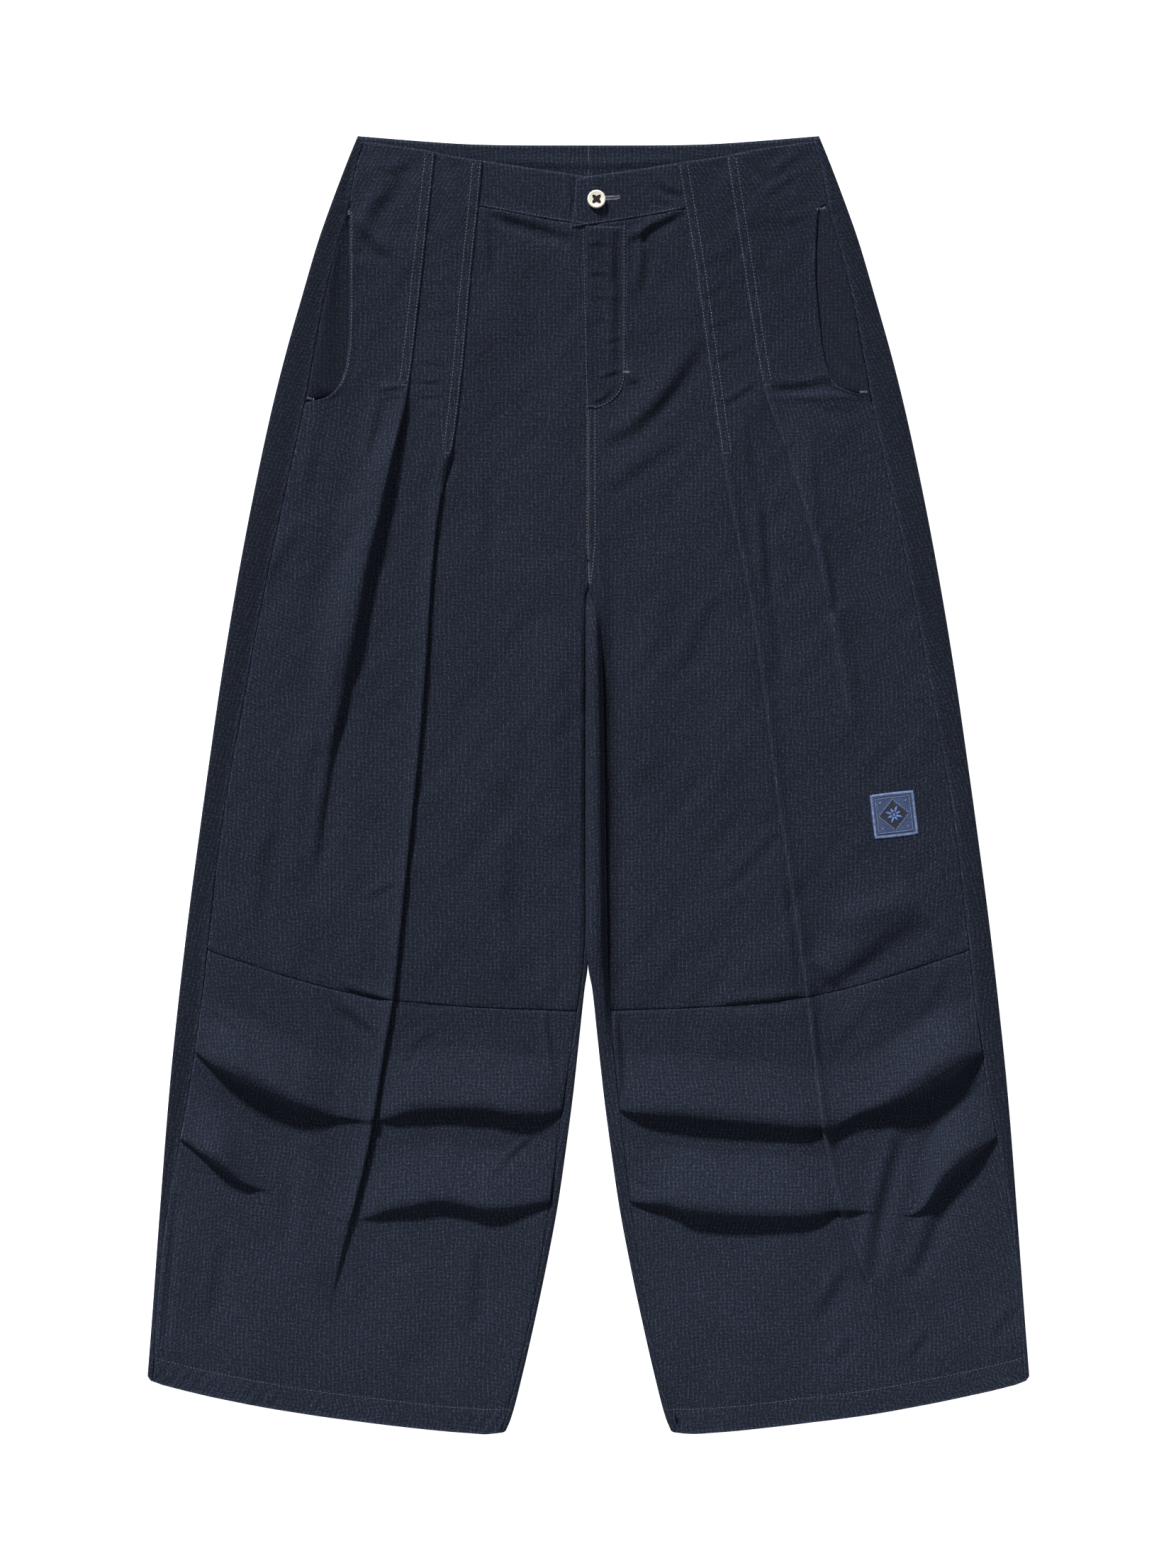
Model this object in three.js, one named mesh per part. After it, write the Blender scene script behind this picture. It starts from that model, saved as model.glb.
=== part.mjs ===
// Wide-leg trousers laid flat on their back, waist towards +Y, hems towards -Y.
// Millimetres, +Z up, origin under the middle of the garment on the surface that it lies on.
// Each panel is a middle surface worked out from short tables, given a cloth wall.
// In every table "down" is measured from the highest point of the waist towards the hem,
// and "out" from the centre line towards the side seam of either leg.
import * as THREE from "three";
import { mergeVertices } from "three/addons/utils/BufferGeometryUtils.js";

// Driving dimensions
const garmentLength = 1050;
const clothWall = 1.2;
const seamGap = 0.4;
const stackGap = 0.3;
const backLevel = clothWall / 2;
const frontLevel = 4.2;
const foldRadius = (frontLevel - backLevel) / 2;
const layerPitch = 1.6;
const pleatDepth = 7;
const pleatRun = 18;
const tuckRun = 32;
const crotchDown = 364;
const crotchTurn = 24;
const pocketTop = 57;
const pocketBottom = 216;
const facingLevel = 2.4;
const facingWall = 1;
const facingUnderSeam = 2.5;
const facingUnderFront = 10;
const flapWall = 1;
const buttonRadius = 7.5;
const buttonHeight = 2.4;
const patchSide = 36;
const patchWall = 1;

// Cloth colours
const navy = 0x292d39;
const navyInside = 0x292c3a;
const patchBlue = 0x5d7fa8;
const buttonCream = 0xd9d3c4;

// Reads a table smoothly: one function for each named column after the first.
function readTable(columns, rows) {
  const keys = rows.map((row) => row[0]);
  const readers = {};
  for (let column = 1; column < columns.length; column += 1) {
    readers[columns[column]] = monotoneCurve(keys, rows.map((row) => row[column]));
  }
  return readers;
}

// A curve through the given values that never swings past them.
function monotoneCurve(keys, values) {
  const last = keys.length - 1;
  const steps = keys.slice(1).map((key, i) => (values[i + 1] - values[i]) / (key - keys[i]));
  const slopes = values.map((value, i) => {
    if (i === 0) return steps[0];
    if (i === last) return steps[last - 1];
    const before = steps[i - 1];
    const after = steps[i];
    return before * after <= 0 ? 0 : (2 * before * after) / (before + after);
  });
  return (key) => {
    if (key <= keys[0]) return values[0];
    if (key >= keys[last]) return values[last];
    const i = keys.findIndex((edge) => edge > key) - 1;
    const span = keys[i + 1] - keys[i];
    const t = (key - keys[i]) / span;
    const t2 = t * t;
    const t3 = t2 * t;
    return (
      values[i] * (2 * t3 - 3 * t2 + 1) +
      slopes[i] * span * (t3 - 2 * t2 + t) +
      values[i + 1] * (3 * t2 - 2 * t3) +
      slopes[i + 1] * span * (t3 - t2)
    );
  };
}

const mix = (from, to, share) => from + (to - from) * share;
const smoothStep = (from, to, value) => {
  const t = Math.min(1, Math.max(0, (value - from) / (to - from)));
  return t * t * (3 - 2 * t);
};

// Outline of either leg
const sideEdge = readTable(["down", "out"], [
  [0, 186.5], [17, 193.5], [39, 202], [62, 210.5], [85, 218.5], [131, 232], [177, 245],
  [223, 256.5], [291, 271], [360, 284], [429, 295.5], [498, 305.5], [567, 315], [635, 324],
  [704, 332], [773, 339], [888, 348], [957, 353], [1002, 356.5],
]);
const innerEdge = readTable(["down", "out"], [
  [crotchDown, 0.5], [660, 0.5], [690, 3], [727, 7], [773, 12], [819, 18], [865, 24.7],
  [911, 33.3], [957, 43], [1002, 53.3], [1037, 62.5], [1050, 68],
]);
const hemEdge = readTable(["out", "down"], [
  [62, 1044], [70, 1048.5], [79, 1050], [96, 1049], [131, 1046], [165, 1042], [200, 1038],
  [234, 1033], [268, 1027], [303, 1020], [337, 1012], [353, 1007], [357, 1002],
]);
const backWaist = readTable(["out", "down"], [
  [0, 7.5], [60, 7.5], [100, 6.5], [146, 5], [161, 3], [175, 1], [187, 0],
]);
const frontWaist = readTable(["out", "down"], [
  [-12, 36], [0, 33.5], [25, 29.5], [40, 27.5], [75, 22], [109, 17], [132, 12], [155, 8.5],
  [181, 4.6],
]);

// Seams shared by both legs
const sideSeam = readTable(["down", "out"], [
  [0, 181], [30, 189], [62, 195], [90, 203], [130, 213], [177, 222], [223, 230.5], [280, 243],
  [340, 256], [400, 268], [460, 279], [520, 290], [580, 299], [640, 306], [700, 312.5],
  [760, 321], [820, 331.5], [880, 342], [950, 349], [1010, 352.5],
]);
const bandSeam = readTable(["out", "down"], [
  [-14, 75], [0, 73], [28, 68.5], [52, 64.3], [78, 59.3], [90, 57], [100, 55],
]);
const kneeSeam = readTable(["out", "down"], [
  [8, 708], [90, 705], [150, 700], [190, 694], [230, 684], [268, 672], [304, 660], [316, 655],
]);

// Folds. A fold line is the edge that the upper cloth is folded on. "open" runs from 0, pressed
// flat in three layers, to 1, a soft ridge whose crest stands "width" back from the line.
const pleatColumns = ["down", "out", "open", "width", "height"];
const tuckColumns = ["out", "down", "width", "height"];

const legs = [
  {
    name: "right",
    mirrored: true,
    outerPleat: readTable(pleatColumns, [
      [0, 122.2, 0, 0.8, 3.2], [195, 144, 0, 0.8, 3.4], [212, 146.5, 0.15, 1.5, 5],
      [240, 151, 0.6, 4, 8], [270, 155.5, 1, 6, 10], [301, 160.6, 1, 8, 11.5],
      [353, 170.3, 1, 11.5, 12], [404, 178.5, 1, 13, 10.5], [440, 188, 1, 10, 6],
      [480, 198, 1, 8, 1.5], [510, 204, 1, 8, 0], [720, 218, 1, 8, 0],
    ]),
    innerPleat: readTable(pleatColumns, [
      [0, 84, 0, 0.8, 3.2], [54, 88.6, 0, 0.8, 3.2], [110, 94.4, 0, 0.8, 3.2],
      [192, 101.8, 0, 0.8, 3.2], [250, 109, 0, 0.8, 3.4], [300, 120, 0.12, 2, 5],
      [353, 125.6, 0.2, 2.5, 6], [428, 130.4, 0.25, 3, 6.5], [497, 136, 0.25, 3, 6.5],
      [574, 144, 0.25, 3, 7], [647, 151.5, 0.2, 3, 7], [700, 157, 0.2, 3, 6.5],
      [733, 162.5, 0.25, 4, 7], [804, 173.5, 0.3, 5, 8], [849, 182.5, 0.5, 5, 7.5],
      [893, 192, 1, 6, 6], [924, 199, 1, 7, 3], [955, 205, 1, 8, 0], [1050, 222, 1, 8, 0],
    ]),
    pocketMouth: readTable(["down", "out"], [
      [56, 193.5], [94, 193.4], [128, 193.3], [161, 193.8], [182, 195.5], [202, 202],
      [212, 212], [216, 229],
    ]),
    inseam: readTable(["down", "out"], [
      [372, 6], [640, 6], [690, 8], [727, 12.5], [760, 17], [789, 21.5], [820, 25.5],
      [858, 30.5], [911, 38.5], [957, 47], [1002, 57.5], [1050, 71],
    ]),
    inseamRidge: readTable(["down", "height"], [
      [372, 0], [420, 1], [640, 1], [720, 0], [1050, 0],
    ]),
    upperTuck: readTable(tuckColumns, [
      [22, 789, 3, 3], [30, 795, 8, 6], [48, 804, 20, 11.5], [75, 806, 25, 13.5],
      [115, 803, 23, 13], [145, 804, 20, 10], [165, 807, 20, 6], [175, 805, 20, 5],
      [200, 799, 12, 5], [211, 798, 13, 7], [231, 799, 19, 12], [249, 793, 22, 13],
      [271, 781, 20, 12], [294, 765, 15, 9], [306, 753, 8, 6], [317, 741, 3, 3],
    ]),
    lowerTuck: readTable(tuckColumns, [
      [29, 860, 3, 3], [48, 866, 8, 6], [70, 875, 14, 9], [88, 878, 20, 11], [126, 878, 19, 10],
      [160, 880, 17, 8], [185, 884, 16, 4.5], [200, 881, 12, 2], [225, 873, 10, 0],
      [262, 858, 9, 0.5], [275, 852, 10, 4], [290, 845, 14, 7.5], [305, 835, 13, 7.5],
      [318, 823, 8, 5.5], [331, 812, 3, 3],
    ]),
  },
  {
    name: "left",
    mirrored: false,
    outerPleat: readTable(pleatColumns, [
      [0, 108.7, 0, 0.8, 3.2], [100, 124, 0, 0.8, 3.2], [195, 139.3, 0, 0.8, 3.4],
      [223, 146, 0.5, 4, 5], [270, 158, 1, 10, 6.5], [315, 170, 1, 12, 6.5],
      [333, 174.5, 1, 12, 6], [432, 196, 1, 10, 4], [500, 211, 1, 8, 0], [720, 238, 1, 8, 0],
    ]),
    innerPleat: readTable(pleatColumns, [
      [0, 68.5, 0, 0.8, 3.2], [22, 72, 0, 0.8, 3.2], [100, 85.2, 0, 0.8, 3.2],
      [167, 94.6, 0, 0.8, 3.2], [250, 106.5, 0, 0.8, 3.4], [304, 115.5, 0.12, 2, 4.5],
      [326, 120, 0.15, 2, 5], [376, 130, 0.2, 3, 5.5], [447, 140.5, 0.2, 3, 5.5],
      [507, 148, 0.2, 3, 5.5], [565, 156, 0.2, 3, 5.5], [629, 166, 0.2, 3, 5.5],
      [692, 174.7, 0.2, 3, 6], [740, 180, 0.25, 4, 6.5], [798, 187, 0.3, 5, 7.5],
      [857, 198, 0.5, 5, 7], [895, 208.5, 1, 6, 6], [936, 224, 1, 7, 3], [965, 233, 1, 8, 0],
      [1050, 250, 1, 8, 0],
    ]),
    pocketMouth: readTable(["down", "out"], [
      [54, 193], [60, 186], [77, 184.7], [111, 183.7], [139, 185.8], [170, 189.2], [192, 194.4],
      [202, 201], [207, 211], [211, 228],
    ]),
    inseam: readTable(["down", "out"], [
      [372, 6], [400, 9], [450, 11.5], [520, 13], [600, 14.5], [660, 16], [706, 18],
      [750, 21.5], [789, 25.5], [830, 30], [868, 34.5], [911, 40.5], [957, 48], [1002, 58],
      [1050, 71],
    ]),
    inseamRidge: readTable(["down", "height"], [
      [372, 0], [410, 4], [600, 4.5], [706, 2], [760, 0], [1050, 0],
    ]),
    upperTuck: readTable(tuckColumns, [
      [24, 789, 3, 3], [32, 795, 9, 6], [48, 803, 18, 11], [70, 809, 24, 13.5],
      [100, 813, 25, 13.5], [145, 815, 22, 12], [172, 814, 20, 8], [184, 812, 20, 5],
      [196, 806, 16, 5], [210, 801, 14, 7], [228, 799, 18, 11], [248, 798, 27, 13],
      [264, 802, 37, 15], [278, 797, 39, 15], [290, 786, 34, 13], [302, 771, 24, 10],
      [312, 755, 10, 6], [321, 741, 3, 3],
    ]),
    lowerTuck: readTable(tuckColumns, [
      [32, 861, 3, 3], [44, 868, 9, 6], [62, 877, 18, 10], [88, 886, 25, 12], [123, 887, 23, 12],
      [165, 884, 20, 9], [190, 880, 18, 5], [204, 876, 14, 4], [218, 875, 11, 1.5],
      [250, 879, 10, 0.5], [268, 872, 15, 5], [280, 861, 21, 8.5], [291, 850, 21, 10],
      [305, 837, 18, 9], [319, 822, 9, 6], [331, 811, 3, 3],
    ]),
  },
];

// One fold seen end on, from the cloth that lies over it to the cloth that comes out from
// under it. "back" is the distance behind the fold line, "rise" the height over the panel.
function foldSection({ open, width, height, depth, run }) {
  const pressed = [
    [depth + run, 0], [depth + 2, 2 * layerPitch], [0.8, Math.max(height, 2 * layerPitch)],
    [0, 1.5 * layerPitch], [0.8, layerPitch], [depth, layerPitch],
    [depth + 0.6, layerPitch / 2], [depth, 0], [depth - 4, 0], [-2, 0],
  ];
  const opened = [
    [width + run, 0], [width + 0.25 * run, 0.8 * height], [width, height],
    [0.72 * width, 0.85 * height], [0.6 * width, 0.55 * height], [0.5 * width, 0.25 * height],
    [0.35 * width, 0.08 * height], [0.15 * width, 0], [0.02 * width, 0], [-2, 0],
  ];
  return pressed.map(([back, rise], i) => ({
    back: mix(back, opened[i][0], open),
    rise: mix(rise, opened[i][1], open),
  }));
}

const foldPoints = 10;

function pleatAt(pleat, down) {
  return {
    line: pleat.out(down),
    section: foldSection({
      open: pleat.open(down),
      width: pleat.width(down),
      height: pleat.height(down),
      depth: pleatDepth,
      run: pleatRun,
    }),
  };
}

function tuckAt(tuck, out) {
  return {
    line: tuck.down(out),
    section: foldSection({
      open: 1,
      width: tuck.width(out),
      height: tuck.height(out),
      depth: 0,
      run: tuckRun,
    }),
  };
}

// Where the front's side edge runs: along the pocket mouth beside the pocket, else at the seam.
function frontSide(leg, down) {
  return Math.min(sideSeam.out(down), pocketSide(leg, down)) - seamGap / 2;
}

function pocketSide(leg, down) {
  const beside = down > pocketTop && down < pocketBottom;
  return beside ? leg.pocketMouth.out(down) : sideSeam.out(down);
}

// Round the crotch point the centre seams hand over to the inseam: 0 above it, 1 below it.
const crotchShare = (down) =>
  smoothStep(crotchDown - crotchTurn / 2, crotchDown + crotchTurn / 2, down);
const crotchDowns = [-12, -6, -2, 2, 6, 12].map((offset) => crotchDown + offset);

// Where the front's inner edge runs: the centre-front seam, then the inseam.
function frontInner(leg, down) {
  const turn = crotchShare(down);
  return mix(seamGap / 2, leg.inseam.out(down) + seamGap / 2, turn);
}

// Spreads columns evenly between two places, without the two places themselves.
const between = (from, to, count) =>
  Array.from({ length: count }, (_, i) => mix(from, to, (i + 1) / (count + 1)));

// One row of the upper front, side to centre: { out, height } at a distance down.
function frontRow(leg, down) {
  const side = frontSide(leg, down);
  const inner = frontInner(leg, down);
  const outer = pleatAt(leg.outerPleat, down);
  const second = pleatAt(leg.innerPleat, down);
  const foldsOf = (pleat) =>
    pleat.section.map(({ back, rise }) => ({ out: pleat.line + back, height: frontLevel + rise }));
  const outerFolds = foldsOf(outer);
  const innerFolds = foldsOf(second);
  const flat = (out) => ({ out, height: frontLevel });
  return [
    flat(side),
    ...between(side, outerFolds[0].out, 1).map(flat),
    ...outerFolds,
    ...between(outerFolds.at(-1).out, innerFolds[0].out, 1).map(flat),
    ...innerFolds,
    ...between(innerFolds.at(-1).out, inner, 3).map(flat),
    flat(inner),
  ];
}

// Rows of the upper front between its top edge and the knee seam.
const frontDowns = [
  90, 120, 150, 180, 205, 216, 240, 270, 310, ...crotchDowns, 400, 430, 475, 530, 590,
];

function frontGrid(leg) {
  const columnCount = frontRow(leg, frontDowns[0]).length;
  const bandStart = columnCount - 6;
  const topDown = (column, out) =>
    column < bandStart ? frontWaist.down(out) : bandSeam.down(out) + seamGap / 2;
  const pointAt = (column, down) => ({ ...frontRow(leg, down)[column], down });
  const fitted = (column, downAt) => {
    let point = pointAt(column, 60);
    for (let pass = 0; pass < 4; pass += 1) point = pointAt(column, downAt(point.out));
    return point;
  };
  const columns = Array.from({ length: columnCount }, (_, column) => [
    ...[0, 1 / 3, 2 / 3].map((share) =>
      fitted(column, (out) => mix(topDown(column, out), frontDowns[0], share)),
    ),
    ...frontDowns.map((down) => pointAt(column, down)),
    ...[0.5, 1].map((share) =>
      fitted(column, (out) => mix(frontDowns.at(-1), kneeSeam.down(out) - seamGap / 2, share)),
    ),
  ]);
  return transpose(columns);
}

const transpose = (columns) => columns[0].map((_, row) => columns.map((column) => column[row]));

// One row of the lower front, side to inseam, before the knee tucks are added.
function shinRow(leg, down) {
  const side = sideSeam.out(down) - seamGap / 2;
  const inner = leg.inseam.out(down) + seamGap / 2;
  const pleat = pleatAt(leg.innerPleat, down);
  const folds = pleat.section.map(({ back, rise }) => ({ out: pleat.line + back, rise }));
  const flat = (out) => ({ out, rise: 0 });
  return [
    flat(side),
    ...[0.08, 0.2, 0.4, 0.62, 0.82].map((share) => flat(mix(side, folds[0].out, share))),
    ...folds,
    ...[0.2, 0.42, 0.62, 0.8, 0.92].map((share) => flat(mix(folds.at(-1).out, inner, share))),
    flat(inner),
  ];
}

// Both knee tucks at a distance out. Under the pleat they take the tuck of the pleat's own line,
// so that its layers rise together.
function shinGrid(leg) {
  const columnCount = shinRow(leg, 800).length;
  const firstFold = 6;
  const columns = Array.from({ length: columnCount }, (_, column) => {
    const inPleat = column > firstFold && column < firstFold + foldPoints;
    const tuckOut = (point, down) => (inPleat ? leg.innerPleat.out(down) : point.out);
    const fitted = (downAt) => {
      let down = 800;
      let point = shinRow(leg, down)[column];
      let place = downAt(tuckOut(point, down));
      for (let pass = 0; pass < 5; pass += 1) {
        down = place.down;
        point = shinRow(leg, down)[column];
        place = downAt(tuckOut(point, down));
      }
      return { out: point.out, down, height: frontLevel + point.rise + place.rise };
    };
    const tuckPoints = (tuck) =>
      Array.from({ length: foldPoints }, (_, i) =>
        fitted((out) => {
          const fold = tuckAt(tuck, out);
          return { down: fold.line - fold.section[i].back, rise: fold.section[i].rise };
        }),
      );
    const flatAt = (downAt) => fitted((out) => ({ down: downAt(out), rise: 0 }));
    const upper = tuckPoints(leg.upperTuck);
    const lower = tuckPoints(leg.lowerTuck);
    const start = upper[0].down;
    const end = lower.at(-1).down;
    return [
      flatAt((out) => kneeSeam.down(out) + seamGap / 2),
      flatAt((out) => mix(kneeSeam.down(out), start, 0.5)),
      ...upper,
      ...lower,
      ...[0.2, 0.4, 0.6, 0.8, 1].map((share) =>
        flatAt((out) => mix(end, hemEdge.down(out), share)),
      ),
    ];
  });
  return transpose(columns);
}

// The inner edge of a back panel at a distance down. Its last stretch lies flat at the centre
// seam above the crotch, rolls over at the crotch, and below it wraps the leg up to the inseam.
const rollSteps = 4;
const ridgeShares = [0, 0.15, 0.5, 0.85, 1, 0.85, 0.05, 0];

function innerRoll(leg, down) {
  const turn = crotchShare(down);
  const wrapEdge = innerEdge.out(down) + clothWall / 2;
  const inseamEnd = Math.max(leg.inseam.out(down) - seamGap / 2, wrapEdge + foldRadius + 0.8);
  const flap = mix(1.5, inseamEnd - wrapEdge - foldRadius, turn);
  const angle = Math.PI * Math.max(turn, 0.01);
  const radius = (Math.PI * foldRadius) / angle;
  const rolled = Array.from({ length: rollSteps + 1 }, (_, i) => {
    const bend = (angle * i) / rollSteps;
    return [-radius * Math.sin(bend), radius * (1 - Math.cos(bend))];
  });
  const [endOut, endRise] = rolled.at(-1);
  const straight = [0.5, 0.85, 1].map((share) => [
    endOut - Math.cos(angle) * flap * share,
    endRise + Math.sin(angle) * flap * share,
  ]);
  const shape = [...rolled, ...straight];
  const nearest = Math.min(...shape.map(([out]) => out));
  const shift = mix(seamGap / 2, wrapEdge, turn) - nearest;
  const ridge = leg.inseamRidge.height(down);
  return shape.map(([out, rise], i) => ({
    out: out + shift,
    height: backLevel + rise + ridge * ridgeShares[i],
  }));
}

// One row of a back panel, all the way round the leg: from the side seam on the front, round
// the side edge, across the floor, and round the inner edge up to the inseam.
function backRow(leg, down) {
  const edge = sideEdge.out(down) - clothWall / 2;
  const sideCentre = edge - foldRadius;
  const seamEnd = Math.min(sideSeam.out(down) + seamGap / 2, sideCentre - 0.8);
  const sideFold = [90, 45, 0, -45, -90].map((degrees) => {
    const angle = THREE.MathUtils.degToRad(degrees);
    return {
      out: sideCentre + foldRadius * Math.cos(angle),
      height: (frontLevel + backLevel) / 2 + foldRadius * Math.sin(angle),
    };
  });
  const roll = innerRoll(leg, down);
  return [
    { out: seamEnd, height: frontLevel },
    { out: mix(seamEnd, sideCentre, 0.5), height: frontLevel },
    ...sideFold,
    ...between(sideCentre, roll[0].out, 2).map((out) => ({ out, height: backLevel })),
    ...roll,
  ];
}

// Rows of a back panel between the waist and the hem.
const backDowns = [
  30, 60, 90, 120, 150, 185, 220, 265, 310, ...crotchDowns, 400, 430, 475, 530, 590, 640, 668,
  690, 712, 740, 765, 790, 815, 840, 865, 890, 922, 954, 986,
];
const wrapTopDowns = [4.6, 3, 1.5, 0.8, 0.4];

function backGrid(leg) {
  const columnCount = backRow(leg, 0).length;
  const columns = Array.from({ length: columnCount }, (_, column) => {
    const pointAt = (down) => ({ ...backRow(leg, down)[column], down });
    const topDown = column < wrapTopDowns.length
      ? wrapTopDowns[column]
      : backWaist.down(pointAt(4).out);
    let hem = pointAt(1040);
    for (let pass = 0; pass < 4; pass += 1) hem = pointAt(hemEdge.down(hem.out));
    return [
      pointAt(topDown),
      ...backDowns.map(pointAt),
      pointAt(mix(backDowns.at(-1), hem.down, 0.55)),
      hem,
    ];
  });
  return transpose(columns);
}

// A short waistband from under a leg's inner pleat to the centre front. The left one laps over
// the right one, past the centre line, with a slanted end, and carries the button.
const lapRise = layerPitch + 0.1;
const lapStart = 13;
const lapFull = 5;
const lapEnd = { top: -9.5, bottom: -13.5 };
const underPleat = 1.5;

function bandGrid(leg) {
  const middles = leg.mirrored ? [70, 45, 22, 8] : [66, 42, 22, lapStart, lapFull, -3];
  return [0, 1 / 3, 2 / 3, 1].map((share) => {
    const downAt = (out) =>
      mix(frontWaist.down(out), bandSeam.down(out) - seamGap / 2, share);
    const sideEnd = leg.innerPleat.out(downAt(90)) + underPleat;
    const centreEnd = leg.mirrored ? seamGap / 2 : mix(lapEnd.top, lapEnd.bottom, share);
    return [sideEnd, ...middles, centreEnd].map((out) => {
      const lap = leg.mirrored ? 0 : smoothStep(lapStart, lapFull, out);
      return { out, down: downAt(out), height: frontLevel + lap * lapRise };
    });
  });
}

// The pocket's facing, which shows between the pocket mouth and the side seam.
function facingGrid(leg) {
  const downs = [44, 62, 80, 105, 130, 160, 190, 210, 224];
  return downs.map((down) => {
    const side = sideSeam.out(down) + facingUnderSeam;
    const hidden = Math.min(leg.pocketMouth.out(down), sideSeam.out(down)) - facingUnderFront;
    return [side, mix(side, hidden, 0.5), hidden].map((out) => ({
      out,
      down,
      height: facingLevel,
    }));
  });
}

// The fly's outer flap, stitched down in a J on the left front, its edge just past the centre.
const flyLap = -2;
const flyEdge = readTable(["down", "out"], [
  [73, 29.5], [190, 29.5], [203, 27.5], [212, 21.5], [218, 13], [220.5, 6],
]);
const flyDowns = [73.5, 110, 150, 190, 198, 205, 211, 216, 220.5];
const flyLevel = frontLevel + clothWall / 2 + stackGap + flapWall / 2;

function flapGrid() {
  return flyDowns.map((down) =>
    [flyEdge.out(down), mix(flyEdge.out(down), flyLap, 0.5), flyLap].map((out) => ({
      out,
      down,
      height: flyLevel,
    })),
  );
}

// Turns a grid of { out, down, height } into a closed solid with half a wall on either side.
function clothSolid(grid, wall, mirrored) {
  const points = grid.map((row) =>
    row.map(({ out, down, height }) =>
      new THREE.Vector3(out, garmentLength / 2 - down, height),
    ),
  );
  const rowCount = points.length;
  const columnCount = points[0].length;
  const step = (from, to) => (from && to ? to.clone().sub(from).normalize() : new THREE.Vector3());
  const faceNormal = (row, column) => {
    const here = points[row][column];
    const across = step(points[row][column - 1], here).add(step(here, points[row][column + 1]));
    const along = step(points[row - 1]?.[column], here).add(step(here, points[row + 1]?.[column]));
    return across.cross(along).normalize();
  };
  const positions = [];
  for (const side of [1, -1]) {
    for (let row = 0; row < rowCount; row += 1) {
      for (let column = 0; column < columnCount; column += 1) {
        const offset = faceNormal(row, column).multiplyScalar((side * wall) / 2);
        const corner = points[row][column].clone().add(offset);
        positions.push(mirrored ? -corner.x : corner.x, corner.y, corner.z);
      }
    }
  }
  const upper = (row, column) => row * columnCount + column;
  const lower = (row, column) => rowCount * columnCount + upper(row, column);
  const triangles = [];
  const quad = (a, b, c, d) => triangles.push([a, b, c], [a, c, d]);
  for (let row = 0; row < rowCount - 1; row += 1) {
    for (let column = 0; column < columnCount - 1; column += 1) {
      const corners = [[row, column], [row, column + 1], [row + 1, column + 1], [row + 1, column]];
      const [a, b, c, d] = corners.map(([r, k]) => upper(r, k));
      const [e, f, g, h] = corners.map(([r, k]) => lower(r, k));
      triangles.push([a, b, c], [a, c, d], [e, g, f], [e, h, g]);
    }
  }
  const rim = [];
  for (let column = 0; column < columnCount - 1; column += 1) rim.push([0, column]);
  for (let row = 0; row < rowCount - 1; row += 1) rim.push([row, columnCount - 1]);
  for (let column = columnCount - 1; column > 0; column -= 1) rim.push([rowCount - 1, column]);
  for (let row = rowCount - 1; row > 0; row -= 1) rim.push([row, 0]);
  rim.forEach(([row, column], i) => {
    const [nextRow, nextColumn] = rim[(i + 1) % rim.length];
    quad(
      lower(row, column), lower(nextRow, nextColumn), upper(nextRow, nextColumn),
      upper(row, column),
    );
  });
  const index = triangles.flatMap(([a, b, c]) => (mirrored ? [a, c, b] : [a, b, c]));
  const geometry = new THREE.BufferGeometry();
  geometry.setAttribute("position", new THREE.Float32BufferAttribute(positions, 3));
  geometry.setIndex(index);
  geometry.computeVertexNormals();
  return geometry;
}

const cloth = new THREE.MeshStandardMaterial({ color: navy, roughness: 0.9, metalness: 0 });
const inside = new THREE.MeshStandardMaterial({ color: navyInside, roughness: 0.9, metalness: 0 });
const patchCloth = new THREE.MeshStandardMaterial({
  color: patchBlue, roughness: 0.85, metalness: 0,
});
const buttonResin = new THREE.MeshStandardMaterial({
  color: buttonCream, roughness: 0.35, metalness: 0,
});

function piece(name, geometry, material) {
  const mesh = new THREE.Mesh(geometry, material);
  mesh.name = name;
  return mesh;
}

// A round resin button with a raised rim and a shallow dish.
function buttonMesh() {
  const profile = [
    [0, 0], [buttonRadius - 1, 0], [buttonRadius, 0.8], [buttonRadius, 1.7],
    [buttonRadius - 0.7, buttonHeight], [buttonRadius - 1.7, buttonHeight],
    [buttonRadius - 2.6, buttonHeight - 0.7], [0, buttonHeight - 0.7],
  ];
  const geometry = new THREE.LatheGeometry(profile.map(([x, y]) => new THREE.Vector2(x, y)), 24);
  geometry.deleteAttribute("normal");
  geometry.deleteAttribute("uv");
  geometry.rotateX(Math.PI / 2);
  const mesh = piece("button", mergeVertices(geometry), buttonResin);
  const buttonOut = 6.6;
  const buttonDown = 52;
  const bandTop = frontLevel + lapRise + clothWall / 2;
  mesh.position.set(buttonOut, garmentLength / 2 - buttonDown, bandTop + stackGap);
  return mesh;
}

// A small square patch sewn to the outside of the left leg above the knee.
function patchMesh() {
  const patchOut = 247;
  const patchDown = 549;
  const patchTurn = THREE.MathUtils.degToRad(6.5);
  const geometry = new THREE.BoxGeometry(patchSide, patchSide, patchWall, 4, 4, 1);
  const mesh = piece("patch", geometry, patchCloth);
  const panelTop = frontLevel + clothWall / 2;
  const middle = panelTop + stackGap + patchWall / 2;
  mesh.position.set(patchOut, garmentLength / 2 - patchDown, middle);
  mesh.rotation.z = patchTurn;
  return mesh;
}

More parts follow.
